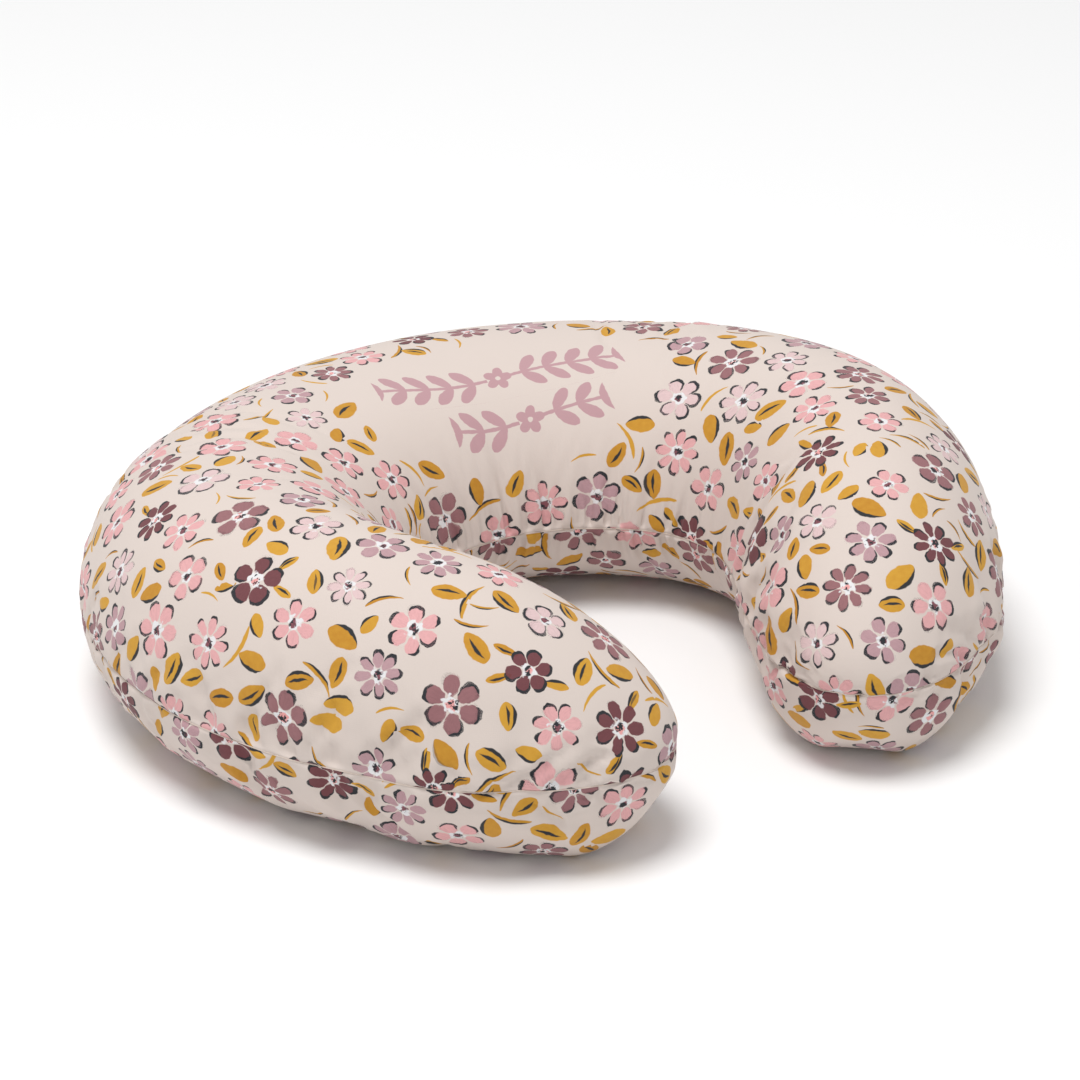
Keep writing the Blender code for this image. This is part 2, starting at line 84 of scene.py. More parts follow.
# ---- the fill's push, from a short cloth simulation of the cover ----
SIM_STATIONS = 250
SIM_TOP_ROWS = 46
SIM_BOTTOM_ROWS = 34
SIM_INSET = 0.0035
SIM_FRAMES = 20
SIM_HOLD = 0.12  # how firmly every point is held in place
SIM_CLOTH = {
    "quality": 5,
    "mass": 0.25,
    "tension_stiffness": 20,
    "compression_stiffness": 20,
    "shear_stiffness": 5,
    "bending_stiffness": 0.3,
    "use_pressure": True,
    "uniform_pressure_force": 4.0,
    "vertex_group_mass": "pin",
    "pin_stiffness": 1.0,
    "vertex_group_shrink": "gather",
    "shrink_min": 0.0,
    "shrink_max": 0.10,
}
ZIP_HOLD = 0.03  # how far past the zip the cloth is held, and the rows beside the seam that are
HOLD_ROWS = (7, 5)
STILL_PAST = 0.040  # how far past the zip the cloth keeps its place, and the rows that do
STILL_TAPER = 0.015
STILL_ROWS = (9, 4)
SIM_BLUR = 9
PUCKER_GAIN = 1.1  # of the quick changes along the pillow
SWELL_KEPT = 0.1  # of the slow ones
SIM_CAP = 0.006
TIP_ZONE = 0.08
TIP_HELD = 0.8

# ---- puckers, seams and the zip's opening ----
PUCKER_SEEDS = {True: (11, 13), False: (12, 14)}  # upper or lower panel: outer and waist seam
PUCKER_STEPS = (0.009, 0.026)
PUCKER_WIDTHS = (0.0034, 0.0062)
PUCKER_REACHES = (0.022, 0.055)
PUCKER_LEAN = 0.25
PUCKER_SPREAD = 0.10
PUCKER_START = 0.004
PUCKER_DEPTH = 0.0075
PUCKER_CAP = 0.0050
WAIST_GATHER = (0.9, -0.45, 0.10, 0.10)  # at the back, change along an arm, where it starts, over how far
OUTER_GATHER = (0.12, 0.88, 0.24, 0.14)
TIP_CALM = 0.12  # section length below which the puckers fade
SEAM_DEPTH = 0.0012
SEAM_WIDTH = 0.0016
SEAM_GAP = 0.0003
SLOT_TAPER = 0.004
SLOT_REACH = 0.012
TAB_REACH = 0.014  # the pull tab lies on the cloth past the zip's end when the zip is open
TAB_TAPER = 0.006
TAB_DENT = 0.0008
TAB_WIDTH = 0.008
EDGE_FOLD = (  # depth and rise of the turned edge's rows, along a seam and along the zip
    (0.0008, 0.0, 0.0010, -0.0003),
    (0.0022, 0.0, 0.0021, 0.0006),
    (0.0038, 0.0, 0.0024, 0.0032),
)

# ---- threads, coil and the inner pillow's dimples ----
THREAD_SIDES = 6
SEAM_THREAD = 0.00036
STITCH_RISE = 0.0076
STITCH_RUN = 0.158
STITCH_LENGTH = 0.0028
STITCH_GAP = 0.0008
STITCH_RADIUS = 0.00026
STITCH_LIFT = 0.0002
STITCH_ARCH = (-1.2, 0.7, 1.0, 1.0, 0.7, -1.2)
STITCH_PAST = 0.002
RIM_ROWS = 20
COIL_THICKNESS = 0.0017
COIL_WIRE = 0.00033
COIL_PITCH = 0.0013
COIL_STEPS = 10
DIMPLES = 260
DIMPLE_DEEP = 0.3  # how far from the outer seam along a section
DIMPLE_SIZES = (0.008, 0.022)
DIMPLE_WEIGHTS = (0.3, 1.0)
DIMPLE_EDGE = 0.02
CASING_DENT = 0.0016
FILL_DENT = 0.0030
CASING_GAP = 0.0003
CLOSING_HALF = 0.040

# ---- camera and light ----
VIEW_ANGLES = (-32.35, 27.10)  # turn and height, in degrees
VIEW_DISTANCE = 2.2462
FOCAL_WIDTHS = 3.4229
ORIGIN_IN_FRAME = (0.497, 0.6038)  # from the left and from the top, in frame widths
WORLD_LIGHT = 0.56
KEY_PLACE = (-0.9, -0.2, 4.1)
KEY_AIM = (0.0, 0.0, 0.08)
KEY_SIZE = 2.0
KEY_POWER = 122.0
FLOOR_TONE = 0.91
FLOOR_SIZE = 60.0
SENSOR_WIDTH = 36.0


def clamp(value):
    return np.clip(value, 0.0, 1.0)


def smooth_step(value):
    value = clamp(value)
    return value * value * (3 - 2 * value)


def unit(vectors):
    return vectors / np.maximum(np.linalg.norm(vectors, axis=-1, keepdims=True), 1e-12)


def length_along(path):
    return np.append(0.0, np.cumsum(np.linalg.norm(np.diff(path, axis=0), axis=1)))


def read_along(where, length, values):
    """Rows of values that are known at these lengths, read at other lengths."""
    return np.stack([np.interp(where, length, column) for column in values.T], axis=-1)


def read_all(items, attribute, kind=int, width=1):
    """One attribute of every vertex, loop or face."""
    values = np.zeros(len(items) * width, kind)
    items.foreach_get(attribute, values)
    return values


# ---- the spine and the sections ----
def along_arm(s, values):
    """A value that is constant over the back and runs smoothly to the tip."""
    g = clamp((np.abs(s) - BACK_HALF) / (SPINE_HALF - BACK_HALF))
    back, first, second, tip = values
    start = (1 - g) ** 4 + 4 * g * (1 - g) ** 3
    return back * start + 6 * first * g**2 * (1 - g) ** 2 + 4 * second * g**3 * (1 - g) + tip * g**4


def build_spine(steps=1200):
    s = np.linspace(0.0, SPINE_HALF, steps + 1)
    g = clamp((s - BACK_HALF) / (SPINE_HALF - BACK_HALF))
    first, second, tip = ARM_CURVATURES
    curvature = BACK_CURVATURE * (1 - g) ** 3 + 3 * first * g * (1 - g) ** 2
    curvature = curvature + 3 * second * g**2 * (1 - g) + tip * g**3
    step = s[1]
    heading = np.append(0.0, np.cumsum(0.5 * (curvature[1:] + curvature[:-1]) * step))
    middle = 0.5 * (heading[1:] + heading[:-1])
    x = np.append(0.0, np.cumsum(np.cos(middle) * step))
    y = -np.append(0.0, np.cumsum(np.sin(middle) * step))
    return s, x, y, heading


SPINE = build_spine()


def tip_rounding(s, inset):
    left = clamp((SPINE_HALF - inset - np.abs(s)) / TIP_LENGTH)
    return np.sqrt(1 - (1 - left) ** 2)


def plan_points(s, t, inset):
    """x and y of the loft at s, t, before it is centred."""
    stations, x, y, heading = SPINE
    side = np.where(s >= 0, 1.0, -1.0)
    turn = np.interp(np.abs(s), stations, heading)
    reach = t * (along_arm(s, HALF_WIDTHS) - inset) * tip_rounding(s, inset)
    px = side * np.interp(np.abs(s), stations, x) + side * np.sin(turn) * reach
    py = np.interp(np.abs(s), stations, y) + np.cos(turn) * reach
    return px, py


EDGE_Y = np.concatenate([plan_points(np.linspace(0, SPINE_HALF, 400), t, 0.0)[1] for t in (-1.0, 1.0)])
CENTRE_Y = 0.5 * (EDGE_Y.max() + EDGE_Y.min())
ARC_RADIUS = 1 / BACK_CURVATURE + HALF_WIDTHS[0]
ARC_CENTRE = Vector((0.0, -1 / BACK_CURVATURE - CENTRE_Y, EQUATOR))
SLOT_END = SLOT_HALF_LENGTH / ARC_RADIUS / BACK_CURVATURE


def loft(s, angle, inset):
    """Points of the loft. The angle is 0 at the outer seam, and a half turn at the waist seam."""
    t = np.cos(angle)
    x, y = plan_points(s, t, inset)
    crest = along_arm(s, CREST_HEIGHTS) - inset - EQUATOR
    span = crest * tip_rounding(s, inset) ** TIP_HEIGHT_POWER
    top = span * np.maximum(0.0, 1 - np.abs(t) ** TOP_FLATNESS) ** (1 / TOP_ROUNDNESS)
    across = np.maximum(0.0, (np.abs(t) - FLAT_SHARE) / (1 - FLAT_SHARE))
    margin = (1 - FLAT_SHARE) * along_arm(s, HALF_WIDTHS)
    along = clamp(1 - (SPINE_HALF - inset - np.abs(s)) / margin)
    depth = EQUATOR - inset
    for out in (across, along):
        depth = depth * np.maximum(0.0, 1 - out**BOTTOM_ROUNDNESS) ** (1 / BOTTOM_ROUNDNESS)
    z = EQUATOR + np.where(np.sin(angle) >= 0, top, -depth)
    return np.stack([x, y - CENTRE_Y, z], axis=-1)


def section(s, upper, inset, shares):
    """Points across one panel at s, at these shares of its length from the outer seam to the waist seam."""
    angle = np.linspace(0, math.pi, SECTION_STEPS) * (1 if upper else -1)
    dense = loft(np.full(SECTION_STEPS, s), angle, inset)
    dense[[0, -1], 2] = EQUATOR
    length = length_along(dense)
    return read_along(length[-1] * shares, length, dense), length[-1]


def tip_stations(count, inset):
    """Distances along the spine, even along the pillow and closing up round the ends of the arms."""
    end = SPINE_HALF - inset
    rounded = TIP_LENGTH * 0.9
    arm = np.linspace(0, 1, 4000)
    s = np.where(arm < 0.7, arm / 0.7 * (end - rounded), 0)
    bend = (arm - 0.7) / 0.3 * math.pi / 2
    s = np.where(arm < 0.7, s, end - rounded * (1 - np.sin(bend)))
    edge = np.stack(plan_points(s, np.ones_like(s), inset), axis=-1)
    length = length_along(edge)
    half = count // 2
    picked = np.interp(np.linspace(0, length[-1], half + 1), length, s)
    return np.concatenate([-picked[:0:-1], picked])


def grid_points(s, upper, inset, shares):
    rows = [section(value, upper, inset, shares) for value in s]
    return np.array([row[0] for row in rows]), np.array([row[1] for row in rows])


def interpolation(coarse, fine):
    """A matrix that reads values known at the coarse places at the fine ones, by Catmull-Rom."""
    count = len(coarse)
    place = np.interp(fine, coarse, np.arange(count))
    base = np.minimum(place.astype(int), count - 2)
    f = place - base
    weights = np.zeros((len(fine), count))
    basis = (-0.5 * f + f**2 - 0.5 * f**3, 1 - 2.5 * f**2 + 1.5 * f**3)
    basis = basis + (0.5 * f + 2 * f**2 - 1.5 * f**3, -0.5 * f**2 + 0.5 * f**3)
    for offset, weight in zip((-1, 0, 1, 2), basis):
        np.add.at(weights, (np.arange(len(fine)), np.clip(base + offset, 0, count - 1)), weight)
    return weights


def beside_zip(s, past, taper):
    """1 along the zip, falling over the taper to 0 this far past its ends."""
    return smooth_step((SLOT_END + past - np.abs(s)) / taper)


def link(name, data, *materials):
    made = bpy.data.objects.new(name, data)
    bpy.context.scene.collection.objects.link(made)
    for item in materials:
        made.data.materials.append(item)
    return made


def stand_in(made, replaced):
    """Puts a piece on the pillow's body in place of a CAD node."""
    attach(made, "root")
    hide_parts(replaced)
    return made


# ---- puffing the cover ----
def tube_mesh(name, rings):
    """A closed mesh of rings of points, whose first and last ring have shrunk to a point."""
    count, size = rings.shape[:2]
    verts = [rings[0, 0], *rings[1:-1].reshape(-1, 3), rings[-1, 0]]
    faces = []
    last = len(verts) - 1

    def ring(i, j):
        return 1 + (i - 1) * size + j % size

    for j in range(size):
        faces.append((0, ring(1, j + 1), ring(1, j)))
        faces.append((last, ring(count - 2, j), ring(count - 2, j + 1)))
    for i in range(1, count - 2):
        faces += [(ring(i, j), ring(i, j + 1), ring(i + 1, j + 1), ring(i + 1, j)) for j in range(size)]
    mesh = bpy.data.meshes.new(name)
    mesh.from_pydata([tuple(v) for v in verts], [], faces)
    return mesh


def puffed():
    """How far the fill and the gathered seams move the cover: both panels' shares, then their moves."""
    s = tip_stations(SIM_STATIONS, SIM_INSET)
    top_share = np.linspace(0, 1, SIM_TOP_ROWS + 1)
    low_share = np.linspace(0, 1, SIM_BOTTOM_ROWS + 1)
    top, _ = grid_points(s, True, SIM_INSET, top_share)
    low, _ = grid_points(s, False, SIM_INSET, low_share)
    rings = np.concatenate([top, low[:, -2:0:-1]], axis=1)
    body = link("puff", tube_mesh("puff", rings))
    size = rings.shape[1]
    row = np.arange(size)
    away = np.minimum(row, size - row)
    rows_held = smooth_step((HOLD_ROWS[0] - away) / HOLD_ROWS[1])
    gather = body.vertex_groups.new(name="gather")
    pin = body.vertex_groups.new(name="pin")
    for i in range(1, len(s) - 1):
        near_zip = float(beside_zip(s[i], ZIP_HOLD, ZIP_HOLD))
        for j in range(size):
            index = 1 + (i - 1) * size + j
            if j in (0, SIM_TOP_ROWS):
                gather.add([index], 1.0, "REPLACE")
            pin.add([index], max(near_zip * float(rows_held[j]), SIM_HOLD), "REPLACE")
    cloth = body.modifiers.new("cloth", "CLOTH")
    for setting, value in SIM_CLOTH.items():
        setattr(cloth.settings, setting, value)
    cloth.settings.effector_weights.gravity = 0.0
    cloth.collision_settings.use_collision = False
    cloth.point_cache.frame_start = 1
    cloth.point_cache.frame_end = SIM_FRAMES
    for step in range(1, SIM_FRAMES + 1):
        bpy.context.scene.frame_set(step)
    graph = bpy.context.evaluated_depsgraph_get()
    result = body.evaluated_get(graph).to_mesh()
    found = read_all(result.vertices, "co", float, 3).reshape(-1, 3)
    moved = rings.copy()
    moved[1:-1] = found[1:-1].reshape(len(s) - 2, size, 3)
    moved[0] = found[0]
    moved[-1] = found[-1]
    bpy.context.scene.frame_set(1)
    bpy.data.objects.remove(body, do_unlink=True)
    move = moved - rings
    slow = blurred_along(move, SIM_BLUR)
    move = (move - slow) * PUCKER_GAIN + slow * SWELL_KEPT
    far = np.linalg.norm(move, axis=-1, keepdims=True)
    move = move * np.minimum(1.0, SIM_CAP / np.maximum(far, 1e-9))
    arm = np.abs(np.linspace(-1, 1, len(s)))
    move = move * (1 - TIP_HELD * smooth_step((arm - 1 + TIP_ZONE) / TIP_ZONE))[:, None, None]
    rows_still = smooth_step((STILL_ROWS[0] - away) / STILL_ROWS[1])
    still = beside_zip(s, STILL_PAST, STILL_TAPER)[:, None] * rows_still
    move = move * (1 - still[..., None])
    top_move = move[:, : SIM_TOP_ROWS + 1]
    low_move = np.concatenate([move[:, :1], move[:, : SIM_TOP_ROWS - 1 : -1]], axis=1)
    return top_share, low_share, top_move, low_move


def blurred_along(values, reach):
    """The mean over neighbouring stations: the pillow's slow change of shape, without its puckers."""
    padded = np.pad(values, ((reach, reach), (0, 0), (0, 0)), mode="edge")
    count = len(values)
    return sum(padded[i : i + count] for i in range(2 * reach + 1)) / (2 * reach + 1)


def puffed_out(points, rows, upper, puff):
    """Points of a panel at these shares of its sections, moved by the fill."""
    share, move = (puff[0], puff[2]) if upper else (puff[1], puff[3])
    along = interpolation(np.linspace(0, 1, len(move)), np.linspace(0, 1, len(points)))
    across = interpolation(share, rows)
    return points + np.einsum("ai,ijk,bj->abk", along, move, across, optimize=True)


# ---- the cover's two panels ----
def seam_rows(count):
    """Shares of a section's length, closer together at both side seams."""
    near = np.array(SEAM_ROWS)
    middle = np.linspace(near[-1], 1 - near[-1], count - 2 * len(near) + 3)[1:-1]
    return np.concatenate([near, middle, 1 - near[::-1]])


def grid_normals(points):
    """Normals of a grid, pointing out of an upper panel."""
    along = np.gradient(points, axis=0)
    across = np.gradient(points, axis=1)
    return unit(np.cross(across, along))


def pucker_field(s, distance, gather, seed):
    """Soft folds that run away from a side seam, deepest where the seam gathers the cloth most."""
    level, change, start, over = gather
    rng = np.random.default_rng(seed)
    total = np.zeros_like(distance)
    where = -SPINE_HALF
    while where < SPINE_HALF:
        where += rng.uniform(*PUCKER_STEPS)
        width = rng.uniform(*PUCKER_WIDTHS)
        reach = rng.uniform(*PUCKER_REACHES)
        lean = rng.uniform(-PUCKER_LEAN, PUCKER_LEAN)
        depth = rng.uniform(0.2, 1.0) ** 1.5 * PUCKER_DEPTH
        gathered = level + change * float(smooth_step((abs(where) - start) / over))
        across = (s[:, None] - where + lean * distance) / (width + PUCKER_SPREAD * distance)
        rise = smooth_step(distance / PUCKER_START) * np.exp(-((distance / reach) ** 2))
        total += gathered * depth * np.exp(-(across**2)) * rise
    return PUCKER_CAP * np.tanh(total / PUCKER_CAP)


def rim_inward(rim, waist):
    """The direction in plan from a panel's rim into the pillow."""
    along = unit(np.gradient(rim[:, :2], axis=0))
    inward = np.stack([along[:, 1], -along[:, 0]], axis=1)
    return -inward if waist else inward


def slot_share(s):
    """1 along the zip, 0 past its ends."""
    return beside_zip(s, SLOT_TAPER, SLOT_TAPER)


def panel_points(upper, puff):
    """The outer face of one panel: stations, points, and the points before the fill moves them."""
    up = 1 if upper else -1
    rows = seam_rows(TOP_ROWS if upper else BOTTOM_ROWS)
    s = tip_stations(COVER_STATIONS, 0.0)
    smooth, length = grid_points(s, upper, 0.0, rows)
    points = puffed_out(smooth, rows, upper, puff)
    outer = length[:, None] * rows[None, :]
    waist = length[:, None] - outer
    seeds = PUCKER_SEEDS[upper]
    depth = pucker_field(s, outer, OUTER_GATHER, seeds[0]) + pucker_field(s, waist, WAIST_GATHER, seeds[1])
    depth = depth * smooth_step(length / TIP_CALM)[:, None]
    points = points - up * grid_normals(points) * depth[..., None]
    slot = slot_share(s)[:, None]
    for distance, inward, open_share in (
        (outer, rim_inward(points[:, 0], False), slot),
        (waist, rim_inward(points[:, -1], True), np.zeros_like(slot)),
    ):
        beside = np.exp(-((distance / SEAM_WIDTH) ** 2)) * (1 - open_share)
        points[..., :2] += inward[:, None, :] * (SEAM_DEPTH * beside)[..., None]
        points[..., 2] += up * SEAM_GAP * beside
        points[..., 2] += up * SLOT_HALF_HEIGHT * open_share * np.exp(-((distance / SLOT_REACH) ** 2))
    under_tab = beside_zip(s, TAB_REACH, TAB_TAPER)[:, None] * (1 - slot)
    pressed = TAB_DENT * under_tab * np.exp(-((outer / TAB_WIDTH) ** 2))
    points[..., :2] += rim_inward(points[:, 0], False)[:, None, :] * pressed[..., None]
    points[..., 2] = np.maximum(points[..., 2], FLOOR_GAP)
    return s, points, smooth


def with_edge_folds(s, points, upper):
    """The panel with its seam allowances, and the hem that is turned under along the zip."""
    up = 1 if upper else -1
    half_width = 0.5 * np.linalg.norm(points[:, 0] - points[:, -1], axis=1)
    room = np.minimum(1.0, 0.4 * half_width / EDGE_FOLD[-1][0])
    folds = []
    for column, waist in ((0, False), (-1, True)):
        rim = points[:, column]
        inward = rim_inward(rim, waist)
        slot = np.zeros_like(s) if waist else slot_share(s)
        for seam_in, seam_up, hem_in, hem_up in EDGE_FOLD:
            row = rim.copy()
            row[:, :2] += inward * ((seam_in * (1 - slot) + hem_in * slot) * room)[:, None]
            row[:, 2] += up * (seam_up * (1 - slot) + hem_up * slot) * room
            folds.append(row)
    outer_fold = np.stack(folds[:3][::-1], axis=1)
    waist_fold = np.stack(folds[3:], axis=1)
    return np.concatenate([outer_fold, points, waist_fold], axis=1)


def cloth_places(s, points):
    """Distances along the spine and across the section, in which the weave runs straight."""
    steps = np.linalg.norm(np.diff(points, axis=1), axis=2)
    across = np.concatenate([np.zeros((len(s), 1)), np.cumsum(steps, axis=1)], axis=1)
    along = np.repeat(s[:, None], points.shape[1], axis=1)
    return np.stack([along, across, np.zeros_like(along)], axis=2)


def add_layer(mesh, name, domain, values):
    made = mesh.attributes.new(name, "FLOAT_VECTOR", domain)
    made.data.foreach_set("vector", values.astype(np.float32).ravel())


def panel_mesh(name, points, upper, **layers):
    """A mesh of the quads between the stations, joined at the arms' ends, where a station is a point."""
    count, size = points.shape[:2]
    i, j = np.meshgrid(np.arange(count - 1), np.arange(size - 1), indexing="ij")
    a = (i * size + j).ravel()
    quads = np.stack([a, a + 1, a + size + 1, a + size], axis=1)
    if not upper:
        quads = quads[:, ::-1]
    mesh = bpy.data.meshes.new(name)
    mesh.from_pydata(points.reshape(-1, 3).tolist(), [], quads.tolist())
    for title, values in layers.items():
        add_layer(mesh, title, "POINT", values)
    weld = bmesh.new()
    weld.from_mesh(mesh)
    bmesh.ops.remove_doubles(weld, verts=weld.verts, dist=WELD)
    bmesh.ops.dissolve_degenerate(weld, edges=weld.edges, dist=WELD)
    weld.to_mesh(mesh)
    weld.free()
    mesh.shade_smooth()
    return mesh


# ---- the printed flowers and leaves ----
PRINT_SEEDS = {True: 5, False: 6}  # upper and lower panel
PATCH_CENTRE = (0.0313, 0.0915)
PATCH_TURN = math.radians(-9)
PATCH_HALF = (0.097, 0.050)
PATCH_POWER = 2.6
FLOWER_RADII = (0.0128, 0.0172)
FLOWER_SPARE = 0.0032
FLOWER_TRIES = 5000
SPRIG_TRIES = 9000
MOTIF_GAP = 0.0012
OVERLAP = 0.016  # how far past a seam the print is scattered, and the share of places tried there
PAST_STEP = 7
PATCH_DEEP = 0.07
FLOWER_KINDS = (0.36, 0.17, 0.18, 0.18, 0.11)
DARKEST = 4
# A sprig is a list of leaves and stems: kind, x, y, turn in degrees, half length.
SPRIGS = (
    (
        ("leaf", -0.0050, 0.0122, 62, 0.0090),
        ("leaf", 0.0056, -0.0080, -58, 0.0088),
        ("stem", 0, 0, 0, 0.0125),
    ),
    (("leaf", 0.0010, 0.0134, 75, 0.0092), ("stem", 0, 0, 0, 0.0135)),
    (("leaf", 0, 0, 0, 0.0105),),
    (("leaf", 0, 0, 0, 0.0094),),
    (("stem", 0, 0, 0, 0.0105),),
    (("leaf", 0, 0, 0, 0.0074),),
    (("stem", 0, 0, 0, 0.0080),),
)
SPRIG_SCALES = (0.88, 1.08)
LEAF_WIDTH = 0.54
STEM_BOW = 0.24
SEPAL_HALF = 0.0072
SEPAL_TURN = 0.2
SEPAL_LEAN = 0.35


class Scatter:
    """Motifs spread over a surface without touching, each kept as discs and as a local frame."""

    def __init__(self):
        self.centres = np.zeros((0, 3))
        self.radii = np.zeros(0)
        self.motifs = {"flower": [], "leaf": [], "stem": []}

    def free(self, centres, radii, gap):
        if not len(self.radii):
            return True
        apart = np.linalg.norm(self.centres[None] - centres[:, None], axis=2)
        return bool((apart - self.radii[None] - radii[:, None]).min() > gap)

    def add(self, layer, centre, along, across, size, code, centres, radii):
        self.centres = np.concatenate([self.centres, centres])
        self.radii = np.concatenate([self.radii, radii])
        self.motifs[layer].append((centre, along, across, size, code, centres, radii))


def tangents(normal, turn):
    """Two directions in the surface, the first at this turn."""
    side = np.cross(normal, (0.31, 0.17, 0.93))
    side = side / np.linalg.norm(side)
    other = np.cross(normal, side)
    along = side * math.cos(turn) + other * math.sin(turn)
    return along, np.cross(normal, along)


def discs_of(layer, centre, along, across, half):
    """The discs that a leaf or a stem covers."""
    if layer == "leaf":
        shares = np.array([-0.62, -0.2, 0.2, 0.62])
        radii = half * LEAF_WIDTH * np.array([0.62, 0.95, 0.95, 0.62])
        rise = np.zeros(4)
    else:
        shares = np.linspace(-0.85, 0.85, 5)
        radii = np.full(5, 0.0012)
        rise = half * STEM_BOW * (1 - shares**2)
    places = centre + np.outer(shares * half, along) + np.outer(rise, across)
    return places, radii


def scatter_print(points, normals, blocked, seed):
    """Flowers first, then sprigs of leaves in the gaps between them."""
    rng = np.random.default_rng(seed)
    made = Scatter()
    for _ in range(FLOWER_TRIES):
        pick = rng.integers(len(points))
        radius = rng.uniform(*FLOWER_RADII)
        turn = rng.uniform(0, 2 * math.pi)
        kind = rng.choice(len(FLOWER_KINDS), p=FLOWER_KINDS)
        spare = rng.uniform(0, FLOWER_SPARE)
        centre = points[pick]
        disc = (centre[None], np.array([radius]))
        if blocked(centre, radius) or not made.free(*disc, MOTIF_GAP + spare):
            continue
        along, across = tangents(normals[pick], turn)
        made.add("flower", centre, along, across, radius, kind + rng.uniform(0.05, 0.95), *disc)
        if kind == DARKEST:
            add_sepals(made, rng, centre, normals[pick], turn, radius)
    for attempt in range(SPRIG_TRIES):
        pick = rng.integers(len(points))
        turn = rng.uniform(0, 2 * math.pi)
        level = min(len(SPRIGS) - 1, int(attempt / SPRIG_TRIES * len(SPRIGS) * 1.05))
        scale = rng.uniform(*SPRIG_SCALES)
        flip = rng.choice([-1.0, 1.0])
        code = rng.uniform(0.02, 0.98, 3)
        centre = points[pick]
        along, across = tangents(normals[pick], turn)
        across = across * flip
        placed = []
        for layer, x, y, lean, half in SPRIGS[level]:
            lean = math.radians(lean)
            place = centre + scale * (x * along + y * across)
            ahead = along * math.cos(lean) + across * math.sin(lean)
            beside = across * math.cos(lean) - along * math.sin(lean)
            placed.append((layer, place, ahead, beside, half * scale))
        covers = [discs_of(*item) for item in placed]
        if any(blocked(item[1], 0.5 * item[4]) for item in placed):
            continue
        if not all(made.free(places, radii, MOTIF_GAP) for places, radii in covers):
            continue
        for item, cover, number in zip(placed, covers, code):
            made.add(*item, number, *cover)
    return made


def add_sepals(made, rng, centre, normal, turn, radius):
    """Pointed leaves that show behind the darkest flowers."""
    for step in rng.permutation(5)[:3]:
        angle = turn + 2 * math.pi * (step + 0.5) / 5 + rng.uniform(-SEPAL_TURN, SEPAL_TURN)
        out, _ = tangents(normal, angle)
        place = centre + out * (radius + SEPAL_HALF * 0.45)
        lean = rng.uniform(-SEPAL_LEAN, SEPAL_LEAN)
        side = np.cross(normal, out)
        ahead = out * math.cos(lean) + side * math.sin(lean)
        beside = np.cross(normal, ahead)
        tip = place + ahead * SEPAL_HALF * 0.6
        cover = (tip[None], np.array([0.002]))
        if made.free(*cover, MOTIF_GAP):
            made.add("leaf", place, ahead, beside, SEPAL_HALF, -1 + rng.uniform(0.05, 0.95), *cover)


def write_layer(mesh, title, motifs, places, centres):
    """A corner attribute: where each corner lies in the frame of the motif that is nearest to its face."""
    discs = np.concatenate([m[5] for m in motifs])
    radii = np.concatenate([m[6] for m in motifs])
    owner = np.concatenate([np.full(len(m[6]), i) for i, m in enumerate(motifs)])
    nearest = np.zeros(len(centres), int)
    for start in range(0, len(centres), 4000):
        part = centres[start : start + 4000]
        square = (part**2).sum(1)[:, None] + (discs**2).sum(1)[None] - 2 * part @ discs.T
        nearest[start : start + 4000] = owner[(np.sqrt(np.maximum(square, 0)) - radii[None]).argmin(1)]
    chosen = np.repeat(nearest, read_all(mesh.polygons, "loop_total"))
    centre, along, across = (np.array([m[i] for m in motifs])[chosen] for i in range(3))
    size, code = (np.array([m[i] for m in motifs])[chosen] for i in (3, 4))
    offset = places - centre
    values = np.stack([(offset * along).sum(1) / size, (offset * across).sum(1) / size, code], axis=1)
    add_layer(mesh, title, "CORNER", values)


# ---- shader arithmetic ----
class Num:
    """A shader value. Arithmetic on it adds Math nodes to its tree."""

    def __init__(self, tree, socket):
        self.tree = tree
        self.socket = socket

    def do(self, operation, *others, clamped=False):
        node = self.tree.nodes.new("ShaderNodeMath")
        node.operation = operation
        node.use_clamp = clamped
        for place, value in enumerate((self, *others)):
            feed(self.tree, node.inputs[place], value)
        return Num(self.tree, node.outputs[0])

    def __add__(self, other):
        return self.do("ADD", other)

    def __sub__(self, other):
        return self.do("SUBTRACT", other)

    def __mul__(self, other):
        return self.do("MULTIPLY", other)

    def __truediv__(self, other):
        return self.do("DIVIDE", other)

    def __pow__(self, other):
        return self.do("POWER", other)

    def __abs__(self):
        return self.do("ABSOLUTE")

    __radd__ = __add__
    __rmul__ = __mul__

    def __rsub__(self, other):
        return self * -1 + other

    def under(self, limit, blur):
        """1 where this is under the limit and 0 where it is over, with an edge as wide as blur."""
        return ((limit - self) / blur).do("ADD", 0.5, clamped=True)

    def over(self, limit, blur):
        return ((self - limit) / blur).do("ADD", 0.5, clamped=True)


def feed(tree, socket, value):
    if isinstance(value, Num):
        tree.links.new(value.socket, socket)
    else:
        socket.default_value = value


def split(tree, socket):
    node = tree.nodes.new("ShaderNodeSeparateXYZ")
    tree.links.new(socket, node.inputs[0])
    return [Num(tree, output) for output in node.outputs]


def join(tree, *values):
    node = tree.nodes.new("ShaderNodeCombineXYZ")
    for socket, value in zip(node.inputs, values):
        feed(tree, socket, value)
    return node.outputs[0]


def layer(tree, name):
    node = tree.nodes.new("ShaderNodeAttribute")
    node.attribute_name = name
    return node.outputs["Vector"]


def places_of(tree):
    return tree.nodes.new("ShaderNodeTexCoord").outputs["Object"]


def noise_node(tree, vector, scale, detail=2.0, roughness=0.5, distortion=0.0):
    node = tree.nodes.new("ShaderNodeTexNoise")
    tree.links.new(vector, node.inputs["Vector"])
    node.inputs["Scale"].default_value = scale
    node.inputs["Detail"].default_value = detail
    node.inputs["Roughness"].default_value = roughness
    node.inputs["Distortion"].default_value = distortion
    return node


def noise(tree, *settings):
    return Num(tree, noise_node(tree, *settings).outputs[0])


